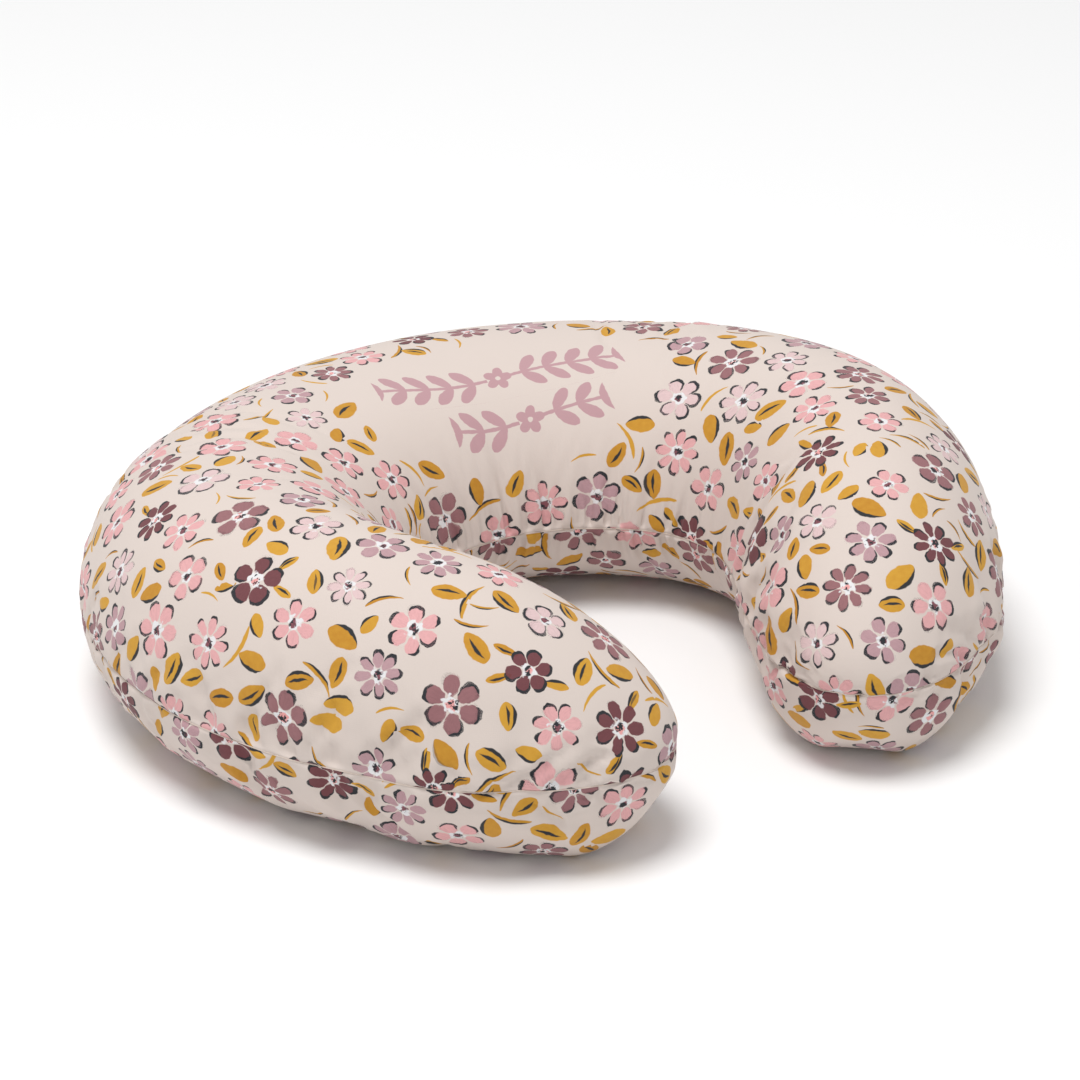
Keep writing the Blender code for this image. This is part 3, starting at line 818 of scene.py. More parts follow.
def chance(tree, *values):
    """Three random numbers that stay the same for the same values."""
    node = tree.nodes.new("ShaderNodeTexWhiteNoise")
    tree.links.new(join(tree, *values), node.inputs["Vector"])
    return split(tree, node.outputs["Color"])


def mix(tree, share, low, high):
    """A colour between two colours, each a socket or three numbers."""
    node = tree.nodes.new("ShaderNodeMix")
    node.data_type = "RGBA"
    feed(tree, node.inputs["Factor"], share)
    for name, value in (("A", low), ("B", high)):
        socket = [s for s in node.inputs if s.name == name and s.type == "RGBA"][0]
        if isinstance(value, tuple):
            socket.default_value = (*value, 1.0)
        else:
            tree.links.new(value, socket)
    return [s for s in node.outputs if s.type == "RGBA"][0]


def pick_colour(tree, index, colours):
    node = tree.nodes.new("ShaderNodeValToRGB")
    ramp = node.color_ramp
    ramp.interpolation = "CONSTANT"
    while len(ramp.elements) < len(colours):
        ramp.elements.new(1.0)
    for i, colour in enumerate(colours):
        ramp.elements[i].position = i / len(colours)
        ramp.elements[i].color = (*colour, 1.0)
    feed(tree, node.inputs[0], (index + 0.5) / len(colours))
    return node.outputs["Color"]


def darker(colour, share):
    return tuple(part * share for part in colour)


def rgb(red, green, blue):
    """A linear colour from the three parts of a screen colour, each up to 255."""
    return tuple(
        (part / 255 / 12.92) if part <= 10 else ((part / 255 + 0.055) / 1.055) ** 2.4
        for part in (red, green, blue)
    )


# ---- the print's colours ----
CREAM = rgb(213, 200, 192)
WHITE_INK = rgb(224, 223, 224)
CHARCOAL = rgb(46, 48, 52)
PETALS = (rgb(223, 167, 168), rgb(218, 190, 190), rgb(184, 147, 153), rgb(147, 100, 104), rgb(110, 58, 64))
PALE_KIND = 1
HEARTS = (rgb(128, 78, 86), rgb(228, 160, 158))
OCHRE = rgb(205, 154, 56)
OCHRE_DARK = rgb(182, 124, 38)
MAUVE = rgb(186, 148, 153)
THREAD_COLOUR = rgb(222, 206, 194)
LABEL_THREAD = rgb(170, 160, 158)

# ---- the pitch and the depth of the small relief ----
COVER_WEAVE = 0.0011
CASING_WEAVE = 0.0013
TAPE_WEAVE = 0.0009
WEAVE_DEPTH = 0.0002
COVER_TWIST = 0.0007
BARTACK_TWIST = 0.0005
THREAD_DEPTH = 0.0001
SCUFF_DEPTH = 0.0003
FIBRE_DEPTH = 0.002
LABEL_RIB = 0.0006
LABEL_STITCH = 0.0185  # from the label's middle
LABEL_DASHES = 420.0  # in a metre


# ---- a flower, in shares of its radius ----
FLOWER_WAVER = 0.11
PETAL_COUNTS = (5.5, 2.9)  # the fewest and how many more, rounded down
PETAL_MIDDLE = (0.65, -0.08)  # the same for every petal, and the part that differs
PETAL_HALF = 0.35
PETAL_WIDTH = 0.54  # of the petal's sector
PETAL_BLUR = 0.07
STROKE_THICK = (0.15, 0.06)
STROKE_EDGE = (0.86, 0.14)
STROKE_START = 0.32
STROKE_BLUR = 0.05
STROKES_LEFT_OUT = 0.12
HALO = 0.27
HEART = 0.14
SPECKS = 0.18

# ---- a leaf and a stem, in half lengths ----
LEAF_WAVER = (0.10, 0.12)
STEM_WAVER = 0.06
SEPAL_NARROWER = 0.20
INK_BLUR = 0.05
END_BLUR = 0.03
VEINED_UNDER = 0.55  # of a motif's own number from 0 to 1
RIMMED_OVER = 0.40
RIMMED_UNDER = 0.93
STEM_LINED_OVER = 0.25
SHARP = 0.01


def flower_ink(tree, ground, wobble):
    """Draws the flowers of the flower layer over the ground colour."""
    u, v, code = split(tree, layer(tree, "flower"))
    u = u + wobble[0] * FLOWER_WAVER
    v = v + wobble[1] * FLOWER_WAVER
    kind = code.do("FLOOR")
    seed = code.do("FRACT")
    petals = ((seed * 37.0).do("FRACT") * PETAL_COUNTS[1] + PETAL_COUNTS[0]).do("FLOOR")
    turn = petals**-1 * (2 * math.pi)
    radius = (u * u + v * v).do("SQRT")
    angle = v.do("ARCTAN2", u)
    index = (angle / turn).do("ROUND")
    lean = angle - index * turn
    first, second, third = chance(tree, index.do("FLOORED_MODULO", petals), seed * 91.0, 0.0)
    middle = first * PETAL_MIDDLE[1] + PETAL_MIDDLE[0]
    x = (radius * lean.do("COSINE") - middle) / PETAL_HALF
    widest = (turn * 0.5).do("TANGENT") * PETAL_WIDTH * (second * 0.20 + 0.80)
    y = radius * lean.do("SINE") / (widest * (x * 0.2 + 1.0))
    edge = (x * x + y * y).do("SQRT")
    petal = edge.under(1.0, PETAL_BLUR)
    bearing = y.do("ARCTAN2", x)
    pale = abs(kind - PALE_KIND).under(0.5, 0.1)
    span = (first * 0.85 + 0.85) * (pale * 0.35 + 1)
    off = (bearing - (third - 0.5) * 2.4) / span
    thick = (1 - off * off).do("MAXIMUM", 0.0).do("SQRT") * (second * STROKE_THICK[1] + STROKE_THICK[0])
    ring = abs(edge - (third * STROKE_EDGE[1] + STROKE_EDGE[0]))
    stroke = (ring - thick).under(0.0, STROKE_BLUR) * (off * off).under(1.0, STROKE_BLUR)
    drawn_here = (second * 7.0).do("FRACT").over(STROKES_LEFT_OUT, SHARP)
    stroke = stroke * drawn_here * radius.over(STROKE_START, END_BLUR)
    streak = noise(tree, join(tree, x * 1.2, y * 3.5, seed * 50.0 + index), 1.6, 3.0)
    tint = pick_colour(tree, kind, PETALS)
    deep = pick_colour(tree, kind, [darker(colour, 0.80) for colour in PETALS])
    tint = mix(tree, streak.over(0.56, 0.3) * 0.55, tint, deep)
    drawn = mix(tree, petal * 0.97, ground, tint)
    halo = (radius + wobble[2] * 0.5).under(HALO, STROKE_BLUR)
    drawn = mix(tree, halo, drawn, WHITE_INK)
    drawn = mix(tree, stroke, drawn, CHARCOAL)
    dot = (radius + wobble[0] * 0.40).under(HEART, STROKE_BLUR)
    heart = mix(tree, kind.over(2.5, 0.1), HEARTS[0], HEARTS[1])
    drawn = mix(tree, dot, drawn, heart)
    near = (radius + wobble[1] * 0.3).under(SPECKS, STROKE_BLUR)
    speck = (wobble[3] + wobble[2]).over(0.02, 0.06) * near
    return mix(tree, speck, drawn, CHARCOAL)


def blade(u, v, wide):
    """How far v is outside a leaf's edge, in half lengths."""
    profile = (1 - u * u).do("MAXIMUM", 0.0) ** 0.62 * wide * (1 + u * 0.16)
    return abs(v) - profile, profile


def leaf_ink(tree, ground, wobble):
    """Draws the leaves over the ground colour, some with a dark vein or a dark rim on one side."""
    u, v, code = split(tree, layer(tree, "leaf"))
    u = u + wobble[2] * LEAF_WAVER[0]
    v = v + wobble[0] * LEAF_WAVER[1]
    sepal = code.under(0.0, SHARP)
    out, profile = blade(u, v, LEAF_WIDTH - sepal * SEPAL_NARROWER)
    inside = out.under(0.0, INK_BLUR) * abs(u).under(1.0, END_BLUR)
    seed = (code + 1).do("FRACT")
    shade = (seed * 17.0).do("FRACT")
    tint = mix(tree, shade * 0.7 + wobble[1] * 0.6, OCHRE, OCHRE_DARK)
    drawn = mix(tree, inside, ground, tint)
    taper = 1 - (u * 1.45 - 0.1) * (u * 1.45 - 0.1)
    vein = (abs(v - taper * 0.09) - taper * 0.10).under(0.0, INK_BLUR) * seed.under(VEINED_UNDER, SHARP)
    long_taper = 1 - (u * 1.1 + 0.1) * (u * 1.1 + 0.1)
    rim = (abs(v - profile) - long_taper * 0.12).under(0.0, INK_BLUR)
    rim = rim * seed.over(RIMMED_OVER, SHARP) * seed.under(RIMMED_UNDER, SHARP)
    line = vein.do("MAXIMUM", rim) * abs(u).under(0.98, END_BLUR)
    return mix(tree, line, drawn, CHARCOAL)


def stem_ink(tree, ground, wobble):
    """Draws the bowed stems over the ground colour, some with a dark line on one side."""
    u, v, code = split(tree, layer(tree, "stem"))
    u = u + wobble[1] * STEM_WAVER
    v = v + wobble[2] * STEM_WAVER
    arch = 1 - u * u
    away = v - arch * STEM_BOW
    thick = arch.do("MAXIMUM", 0.0) ** 0.45 * (u * 0.03 + 0.095)
    band = (abs(away) - thick).under(0.0, END_BLUR) * abs(u).under(1.0, END_BLUR)
    drawn = mix(tree, band, ground, mix(tree, code, OCHRE, OCHRE_DARK))
    taper = 1 - (u * 1.2 - 0.15) * (u * 1.2 - 0.15)
    line = (abs(away - thick) - taper * 0.055).under(0.0, END_BLUR) * code.over(STEM_LINED_OVER, SHARP)
    return mix(tree, line * abs(u).under(1.0, END_BLUR), drawn, CHARCOAL)


# ---- the garland on the bare patch, in metres across the patch ----
GARLAND_LONG = (0.002, 0.0110, 0.080)  # middle across, middle up, half length
GARLAND_SHORT = (0.011, -0.0235, 0.051)
GARLAND_PITCH = 0.0150
GARLAND_LEAF = 0.0088
GARLAND_LEAN = math.radians(46)
GARLAND_STALK = 0.0012
GARLAND_BUD = 0.0075


def garland_ink(tree, ground, wobble):
    """Two rows of leaves, each growing both ways from a small flower."""
    across, up, near = split(tree, layer(tree, "patch"))
    across = across + wobble[0] * 0.0009
    up = up + wobble[1] * 0.0009
    first = up.over(-0.0065, 0.0001)
    middle, level, reach = (low + first * (high - low) for high, low in zip(GARLAND_LONG, GARLAND_SHORT))
    x = across - middle
    y = up - level - (x * 55.0).do("SINE") * 0.0022
    far = abs(x)
    place = far - ((far / GARLAND_PITCH).do("FLOOR") + 0.5) * GARLAND_PITCH
    out = abs(y) - GARLAND_LEAF * 0.78
    cos, sin = math.cos(GARLAND_LEAN), math.sin(GARLAND_LEAN)
    ahead = (place * cos + out * sin) / GARLAND_LEAF
    beside = (out * cos - place * sin) / GARLAND_LEAF
    away, _ = blade(ahead, beside, 0.44)
    leaves = away.under(0.0, 0.04) * abs(ahead).under(1.0, 0.03) * far.over(GARLAND_PITCH, 0.0002)
    stalk = abs(y).under(GARLAND_STALK, 0.0003) * far.over(GARLAND_BUD, 0.0002)
    band = (leaves.do("MAXIMUM", stalk)) * (reach - far).over(0.0, 0.0003)
    radius = (x * x + y * y).do("SQRT")
    angle = y.do("ARCTAN2", x)
    bud = (radius - (angle * 2.5).do("COSINE").do("ABSOLUTE") * 0.0042).under(GARLAND_BUD - 0.0022, 0.0003)
    bud = bud * radius.over(0.0017, 0.0003)
    ink = band.do("MAXIMUM", bud) * near
    return mix(tree, ink, ground, MAUVE)


def weave_height(tree, along, across, pitch):
    """The height of a plain weave of threads this far apart."""
    warp = (along * (math.pi / pitch)).do("SINE")
    weft = (across * (math.pi / pitch)).do("SINE")
    return abs(warp * weft) * 0.6 + noise(tree, places_of(tree), 1400.0, 2.0) * 0.5


def new_material(name, fixed):
    """A material, its tree and its shader, with the shader's values that are the same all over."""
    made = bpy.data.materials.new(name)
    made.use_nodes = True
    shader = made.node_tree.nodes["Principled BSDF"]
    for socket, value in fixed.items():
        shader.inputs[socket].default_value = value
    return made, made.node_tree, shader


def finish_look(tree, shader, tint, rough, height, strength, distance):
    """Connects the colour, the roughness and a relief of this strength and depth."""
    tree.links.new(tint, shader.inputs["Base Color"])
    feed(tree, shader.inputs["Roughness"], rough)
    node = tree.nodes.new("ShaderNodeBump")
    node.inputs["Strength"].default_value = strength
    node.inputs["Distance"].default_value = distance
    feed(tree, node.inputs["Height"], height)
    tree.links.new(node.outputs["Normal"], shader.inputs["Normal"])


def hand_wobble(tree, places):
    """Numbers about zero that waver over a few millimetres, for the uneven edges of a hand-drawn print."""
    slow = split(tree, noise_node(tree, places, 330.0, 0.7).outputs["Color"])
    quick = noise(tree, places, 950.0, 2.0)
    return [part - 0.5 for part in slow] + [quick - 0.5]


def printed_cotton():
    cotton = {"Sheen Weight": 0.12, "Sheen Roughness": 0.45, "Specular IOR Level": 0.25}
    made, tree, shader = new_material("printed_cotton", cotton)
    places = places_of(tree)
    wobble = hand_wobble(tree, places)
    cloudy = noise(tree, places, 24.0, 3.0)
    drawn = mix(tree, cloudy.over(0.5, 0.6) * 0.5, CREAM, darker(CREAM, 0.965))
    for ink in (stem_ink, leaf_ink, flower_ink, garland_ink):
        drawn = ink(tree, drawn, wobble)
    height = weave_height(tree, *sewn_places(tree), COVER_WEAVE)
    finish_look(tree, shader, drawn, cloudy * 0.10 + 0.78, height, 0.22, WEAVE_DEPTH)
    return made


def arc_places(tree):
    """Distance along the zip's arc and height, from a place."""
    x, y, z = split(tree, places_of(tree))
    return x.do("ARCTAN2", y - ARC_CENTRE.y) * ARC_RADIUS, z


def sewn_places(tree):
    """Distances along and across the cloth, from the mesh's own layer."""
    along, across, _ = split(tree, layer(tree, "cloth"))
    return along, across


def plain_cloth(name, colour, where, pitch=COVER_WEAVE, strength=0.3, rough=0.8):
    """Woven cloth of one colour, a little cloudy."""
    made, tree, shader = new_material(name, {"Sheen Weight": 0.1})
    cloudy = noise(tree, places_of(tree), 40.0, 3.0)
    tint = mix(tree, cloudy.over(0.5, 0.6), colour, darker(colour, 0.92))
    height = weave_height(tree, *where(tree), pitch)
    finish_look(tree, shader, tint, cloudy * 0.1 + rough, height, strength, WEAVE_DEPTH)
    return made


def twisted_thread(name, colour, pitch=COVER_TWIST):
    """Sewing thread: two plies that run round each other as slanting ridges."""
    made, tree, shader = new_material(name, {})
    x, y, z = split(tree, places_of(tree))
    plies = ((x + y + z * 1.6) * (2 * math.pi / pitch)).do("SINE")
    dirt = noise(tree, places_of(tree), 500.0, 2.0)
    # Darker in the grooves between the plies: painted shade. The dirt noise adds uneven tone of the
    # thread's own.
    tint = mix(tree, (plies * 0.2 + dirt).over(0.5, 0.8), darker(colour, 0.84), colour)
    finish_look(tree, shader, tint, dirt * 0.2 + 0.55, plies, 0.4, THREAD_DEPTH)
    return made


def moulded(name, colour, rough, metal, grain):
    """Enamel, nylon or metal with a faint unevenness and small scuffs."""
    made, tree, shader = new_material(name, {"Metallic": metal})
    places = places_of(tree)
    uneven = noise(tree, places, grain, 3.0)
    scuff = noise(tree, places, grain * 4.5, 4.0, 0.7)
    tint = mix(tree, scuff.over(0.62, 0.2) * 0.4, colour, darker(colour, 0.78))
    finish_look(tree, shader, tint, scuff * 0.25 + rough, uneven + scuff * 0.3, 0.15, SCUFF_DEPTH)
    return made


def satin_label(name, colour):
    """Narrow satin ribbon with fine cross ribs and a plain stitched line along both edges."""
    made, tree, shader = new_material(name, {})
    x, _, z = split(tree, places_of(tree))
    ribs = (z * (2 * math.pi / LABEL_RIB)).do("SINE")
    soft = noise(tree, places_of(tree), 160.0, 3.0)
    dashes = (z * LABEL_DASHES).do("FRACT").under(0.7, 0.05)
    line = abs(abs(x) - LABEL_STITCH).under(0.0005, 0.0002) * dashes
    tint = mix(tree, soft.over(0.5, 0.7) * 0.6, colour, darker(colour, 0.9))
    tint = mix(tree, line, tint, LABEL_THREAD)
    finish_look(tree, shader, tint, soft * 0.15 + 0.36, ribs, 0.2, THREAD_DEPTH)
    return made


def loose_fibre(name, colour):
    """Polyester filling: a tangle of fine crimped strands."""
    made, tree, shader = new_material(name, {"Sheen Weight": 0.3})
    places = places_of(tree)
    strands = noise(tree, places, 90.0, 6.0, 0.75, 1.6)
    fine = noise(tree, places, 700.0, 4.0, 0.7)
    tint = mix(tree, (strands + fine * 0.4).over(0.72, 0.5), colour, darker(colour, 0.85))
    finish_look(tree, shader, tint, fine * 0.1 + 0.86, strands + fine * 0.5, 0.6, FIBRE_DEPTH)
    return made


# ---- the slipcover ----
def patch_frame(points, normals):
    """The bare patch's middle, its two directions and its normal, on the upper panel."""
    apart = np.linalg.norm(points[..., :2] - np.array(PATCH_CENTRE), axis=-1)
    nearest = np.unravel_index(apart.argmin(), apart.shape)
    normal = normals[nearest]
    flat = np.array([math.cos(PATCH_TURN), math.sin(PATCH_TURN), 0.0])
    along = flat - normal * (flat @ normal)
    along = along / np.linalg.norm(along)
    return points[nearest], along, np.cross(normal, along), normal


def patch_places(points, patch):
    """Distances across and up the bare patch, and 1 on the face that it is on."""
    middle, along, up, normal = patch
    offset = points - middle
    near = (np.abs(offset @ normal) < PATCH_DEEP).astype(float)
    return np.stack([offset @ along, offset @ up, near], axis=-1)


def on_patch(patch):
    """A test of whether a disc reaches into the bare patch."""

    def blocked(centre, radius):
        across, up, near = patch_places(centre, patch)
        wide = (abs(across) / (PATCH_HALF[0] + radius)) ** PATCH_POWER
        tall = (abs(up) / (PATCH_HALF[1] + radius)) ** PATCH_POWER
        return near > 0 and wide + tall < 1

    return blocked


def smooth_places(mesh):
    """Where the middles of the faces and their corners were before the fill moved them."""
    place = read_all(mesh.attributes["smooth"].data, "vector", float, 3).reshape(-1, 3)
    corners = place[read_all(mesh.loops, "vertex_index")]
    start = read_all(mesh.polygons, "loop_start")
    sides = read_all(mesh.polygons, "loop_total")
    return np.add.reduceat(corners, start, axis=0) / sides[:, None], corners


def print_panel(mesh, own, others, patch, seed):
    """Scatters the print over one panel and a little past its seams, where the cloth was cut."""
    points, normals = own
    edge = np.concatenate([points[:, 0], points[:, -1]])
    past, past_normals = (part.reshape(-1, 3) for part in others)
    past, past_normals = past[::PAST_STEP], past_normals[::PAST_STEP]
    near = np.array([np.linalg.norm(edge - place, axis=1).min() < OVERLAP for place in past])
    places = np.concatenate([points.reshape(-1, 3), past[near]])
    slopes = np.concatenate([normals.reshape(-1, 3), past_normals[near]])
    # At the tip of an arm a station is a point and has no normal.
    sound = np.linalg.norm(slopes, axis=1) > 0.9
    made = scatter_print(places[sound], slopes[sound], on_patch(patch), seed)
    middles, corners = smooth_places(mesh)
    for name, motifs in made.motifs.items():
        write_layer(mesh, name, motifs, corners, middles)


def thicken(made, cloth):
    wall = made.modifiers.new("cloth", "SOLIDIFY")
    wall.thickness = cloth
    wall.offset = -1.0
    wall.use_even_offset = False
    wall.material_offset = len(made.data.materials) - 1
    return made


puff = puffed()
upper = panel_points(True, puff)
lower = panel_points(False, puff)
upper_normals = grid_normals(upper[2])
lower_normals = -grid_normals(lower[2])
patch = patch_frame(upper[2], upper_normals)
cotton = printed_cotton()
reverse = plain_cloth("cotton_reverse", CREAM, sewn_places)
for name, replaced, panel, is_upper in (
    ("slipcover_top", "cover_top_panel", upper, True),
    ("slipcover_bottom", "cover_bottom_panel", lower, False),
):
    s, points, smooth = panel
    sheet = with_edge_folds(s, points, is_upper)
    flat = with_edge_folds(s, smooth, is_upper)
    layers = {"cloth": cloth_places(s, flat), "patch": patch_places(flat, patch), "smooth": flat}
    mesh = panel_mesh(name, sheet, is_upper, **layers)
    both = [(upper[2], upper_normals), (lower[2], lower_normals)]
    own, others = both if is_upper else both[::-1]
    print_panel(mesh, own, others, patch, PRINT_SEEDS[is_upper])
    made = thicken(link(name, mesh, cotton, reverse), COVER_CLOTH)
    stand_in(made, replaced)


# ---- threads ----
def tube(path, radius):
    """Points and faces of a round tube along a path, closed at both ends."""
    sides = THREAD_SIDES
    count = len(path)
    ahead = unit(np.gradient(path, axis=0))
    side = unit(np.cross(ahead, (0.013, 0.021, 1.0)))
    other = np.cross(ahead, side)
    turn = np.arange(sides) * 2 * math.pi / sides
    ring = np.cos(turn)[None, :, None] * side[:, None] + np.sin(turn)[None, :, None] * other[:, None]
    verts = (path[:, None] + radius * ring).reshape(-1, 3)
    faces = []
    for i in range(count - 1):
        for j in range(sides):
            a, b = i * sides + j, i * sides + (j + 1) % sides
            faces.append((a, b, b + sides, a + sides))
    faces.append(tuple(range(sides))[::-1])
    faces.append(tuple((count - 1) * sides + j for j in range(sides)))
    return verts, faces


def tube_object(name, tubes, look, replaced):
    """One piece of several tubes, in place of a CAD node."""
    verts = []
    faces = []
    for points, quads in tubes:
        start = len(verts)
        verts += [tuple(point) for point in points]
        faces += [tuple(start + index for index in face) for face in quads]
    mesh = bpy.data.meshes.new(name)
    mesh.from_pydata(verts, [], faces)
    mesh.shade_smooth()
    return stand_in(link(name, mesh, look), replaced)


def seam_tube(s, panels, opening):
    """A thread round the pillow between two panels, from one end of the seam's opening to the other."""
    outer, waist = (0.5 * (panels[0][:, column] + panels[1][:, column]) for column in (0, -1))
    return tube(np.concatenate([outer[s > opening], waist[::-1][1:-1], outer[s < -opening]]), SEAM_THREAD)


thread = twisted_thread("cover_thread", THREAD_COLOUR)
stitching = seam_tube(upper[0], (upper[1], lower[1]), SLOT_END + SLOT_TAPER)
tube_object("seam_stitching", [stitching], thread, "cover_seam_thread")


def dash_paths(points, s, rise):
    """Stitches along the zip at this height from the seam's level, a little proud of the cloth."""
    run = []
    for row in points[np.abs(s) < SLOT_END + STITCH_PAST, :RIM_ROWS]:
        run.append(read_along(rise, np.abs(row[:, 2] - EQUATOR), row))
    run = np.array(run)
    out = unit(run[:, :2] - np.array(ARC_CENTRE.xy))
    length = length_along(run)
    middle = 0.5 * length[-1]
    paths = []
    start = middle - STITCH_RUN
    while start + STITCH_LENGTH < middle + STITCH_RUN:
        where = start + STITCH_LENGTH * np.linspace(0, 1, len(STITCH_ARCH))
        path = read_along(where, length, run)
        lift = STITCH_LIFT * np.array(STITCH_ARCH)
        path[:, :2] += read_along(where, length, out) * lift[:, None]
        paths.append(path)
        start += STITCH_LENGTH + STITCH_GAP
    return paths


for name, panel, replaced in (
    ("zip_stitches_upper", upper, "zip_topstitch_upper"),
    ("zip_stitches_lower", lower, "zip_topstitch_lower"),
):
    dashes = [tube(path, STITCH_RADIUS) for path in dash_paths(panel[1], panel[0], STITCH_RISE)]
    tube_object(name, dashes, thread, replaced)


# ---- the zip ----
def coil_path(node):
    """A wire that winds along the zip inside the space of this CAD coil."""
    low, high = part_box(node)
    outer = high.y - ARC_CENTRE.y
    middle = outer - 0.5 * COIL_THICKNESS
    level = 0.5 * (low.z + high.z)
    wide = 0.5 * COIL_THICKNESS - COIL_WIRE
    tall = 0.5 * (high.z - low.z) - COIL_WIRE
    ends = [math.asin(x / middle) * ARC_RADIUS for x in (low.x, high.x)]
    reach = ends[1] - ends[0] - 2 * COIL_WIRE
    turns = int(reach / COIL_PITCH)
    turn = np.linspace(0, turns * 2 * math.pi, turns * COIL_STEPS + 1)
    place = ends[0] + COIL_WIRE + reach * turn / turn[-1]
    radius = middle + wide * np.cos(turn)
    angle = place / ARC_RADIUS
    points = [radius * np.sin(angle), ARC_CENTRE.y + radius * np.cos(angle), level + tall * np.sin(turn)]
    return np.stack(points, axis=1)


nylon = moulded("zip_coil", rgb(226, 216, 208), 0.35, 0.0, 300.0)
for name, replaced in (("zip_spiral_upper", "zip_coil_upper"), ("zip_spiral_lower", "zip_coil_lower")):
    tube_object(name, [tube(coil_path(replaced), COIL_WIRE)], nylon, replaced)


# ---- the pillow inside ----
def inner_panel(is_upper, inset, depth, seed):
    """A panel of the inner pillow, dimpled where the fill is thin."""
    rng = np.random.default_rng(seed)
    s = tip_stations(INNER_STATIONS, inset)
    share = np.linspace(0, 1, INNER_ROWS + 1)
    points, length = grid_points(s, is_upper, inset, share)
    points = puffed_out(points, share, is_upper, puff)
    across = length[:, None] * share
    edge = np.minimum(across, length[:, None] - across)
    dent = np.zeros_like(across)
    for _ in range(DIMPLES):
        where = rng.uniform(-SPINE_HALF, SPINE_HALF)
        level = rng.uniform(0.0, DIMPLE_DEEP)
        wide, high = rng.uniform(*DIMPLE_SIZES, 2)
        away = -(((s[:, None] - where) / wide) ** 2) - ((across - level) / high) ** 2
        dent += rng.uniform(*DIMPLE_WEIGHTS) * np.exp(away)
    dent = depth * np.tanh(dent) * smooth_step(edge / DIMPLE_EDGE)
    up = 1 if is_upper else -1
    points = points - up * grid_normals(points) * dent[..., None]
    points[..., 2] += up * CASING_GAP
    return s, points


casing = []
canvas = plain_cloth("casing_cloth", rgb(236, 233, 228), sewn_places, CASING_WEAVE, 0.35)
for name, replaced, is_upper in (
    ("pillow_casing_top", "inner_casing_top", True),
    ("pillow_casing_bottom", "inner_casing_bottom", False),
):
    s, points = inner_panel(is_upper, CASING_INSET, CASING_DENT, 21 + is_upper)
    mesh = panel_mesh(name, points, is_upper, cloth=cloth_places(s, points))
    made = thicken(link(name, mesh, canvas), CASING_CLOTH)
    stand_in(made, replaced)
    casing.append(points)

ecru = twisted_thread("casing_thread", rgb(222, 218, 212))
stitching = seam_tube(s, casing, CLOSING_HALF)
tube_object("pillow_seam_stitching", [stitching], ecru, "inner_casing_seam_thread")

halves = [inner_panel(is_upper, FILL_INSET, FILL_DENT, 31 + is_upper)[1] for is_upper in (True, False)]
for half in halves:
    half[:, (0, -1), 2] = EQUATOR
rings = np.concatenate([halves[0], halves[1][:, -2:0:-1]], axis=1)
mesh = tube_mesh("stuffing", rings)
mesh.shade_smooth()
stuffing = link("stuffing", mesh, loose_fibre("fibre", rgb(244, 243, 240)))
stand_in(stuffing, "fibre_fill")

# ---- the CAD pieces that stay as they are ----
tape = plain_cloth("zip_tape", rgb(224, 212, 203), arc_places, TAPE_WEAVE, 0.5, 0.7)
steel = moulded("zip_stop", (0.62, 0.62, 0.63), 0.30, 1.0, 350.0)
enamel = moulded("slider_enamel", rgb(220, 206, 196), 0.22, 0.0, 220.0)
bartack = twisted_thread("bartack_thread", THREAD_COLOUR, BARTACK_TWIST)
LOOKS = (
    (tape, "zip_tape_upper", "zip_tape_lower"),
    (steel, "zip_top_stop_upper", "zip_top_stop_lower", "zip_bottom_stop"),
    (enamel, "zip_slider_body", "zip_pull_tab"),
    (bartack, "zip_bartack_open", "zip_bartack_closed"),
    (satin_label("label_satin", rgb(242, 240, 238)), "cover_care_label", "inner_law_label"),
    (ecru, "inner_closing_stitch"),
)
ROUNDED = (
    (0.0002, "zip_pull_tab", "zip_top_stop_upper", "zip_top_stop_lower"),
    (0.0003, "zip_slider_body", "zip_bottom_stop", "zip_bartack_open", "zip_bartack_closed"),
)
for look, *names in LOOKS:
    for name in names:
        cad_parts[name].data.materials.clear()
        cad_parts[name].data.materials.append(look)
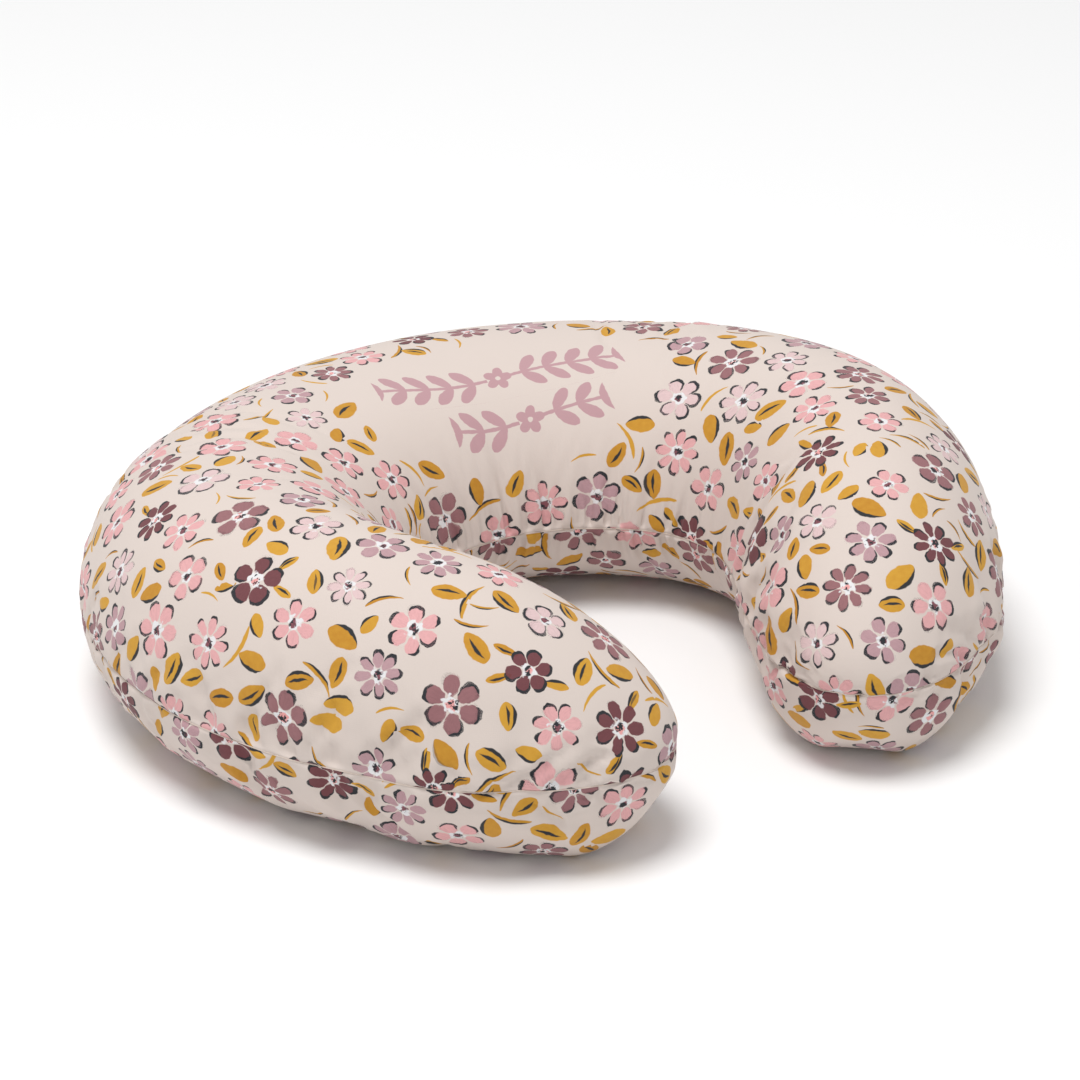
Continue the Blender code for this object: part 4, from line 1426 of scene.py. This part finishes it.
for radius, *names in ROUNDED:
    for name in names:
        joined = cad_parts[name].modifiers.new("joined", "WELD")
        joined.merge_threshold = WELD
        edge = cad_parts[name].modifiers.new("rounded", "BEVEL")
        edge.width = radius
        edge.segments = 2
        edge.limit_method = "ANGLE"

# ---- floor, light and camera ----
pale = {"Base Color": (FLOOR_TONE, FLOOR_TONE, FLOOR_TONE, 1.0), "Roughness": 0.9}
floor_look, _, _ = new_material("studio_floor", pale)
bpy.ops.mesh.primitive_plane_add(size=FLOOR_SIZE, location=(0.0, 0.0, 0.0))
floor = bpy.context.object
floor.name = "studio_floor"
floor.data.materials.append(floor_look)

world = bpy.data.worlds.new("studio")
bpy.context.scene.world = world
world.use_nodes = True
background = world.node_tree.nodes["Background"]
background.inputs["Color"].default_value = (1.0, 1.0, 1.0, 1.0)
background.inputs["Strength"].default_value = WORLD_LIGHT

disk = bpy.data.lights.new("key_light", "AREA")
disk.shape = "DISK"
disk.size = KEY_SIZE
disk.energy = KEY_POWER
lamp = link("key_light", disk)
lamp.location = KEY_PLACE
lamp.rotation_euler = (Vector(KEY_AIM) - Vector(KEY_PLACE)).to_track_quat("-Z", "Y").to_euler()

lens = bpy.data.cameras.new("camera")
lens.sensor_width = SENSOR_WIDTH
lens.lens = SENSOR_WIDTH * FOCAL_WIDTHS
camera = link("camera", lens)
azimuth, elevation = math.radians(VIEW_ANGLES[0]), math.radians(VIEW_ANGLES[1])
level = math.cos(elevation)
back = Vector((math.sin(azimuth) * level, -math.cos(azimuth) * level, math.sin(elevation)))
camera.location = back * VIEW_DISTANCE
look = back.to_track_quat("Z", "Y")
tilt = math.atan((ORIGIN_IN_FRAME[1] - 0.5) / FOCAL_WIDTHS)
pan = math.atan((ORIGIN_IN_FRAME[0] - 0.5) / FOCAL_WIDTHS)
aim = look @ Quaternion((1.0, 0.0, 0.0), tilt) @ Quaternion((0.0, 1.0, 0.0), pan)
camera.rotation_euler = aim.to_euler()
bpy.context.scene.camera = camera
bpy.context.scene.view_settings.view_transform = "Standard"
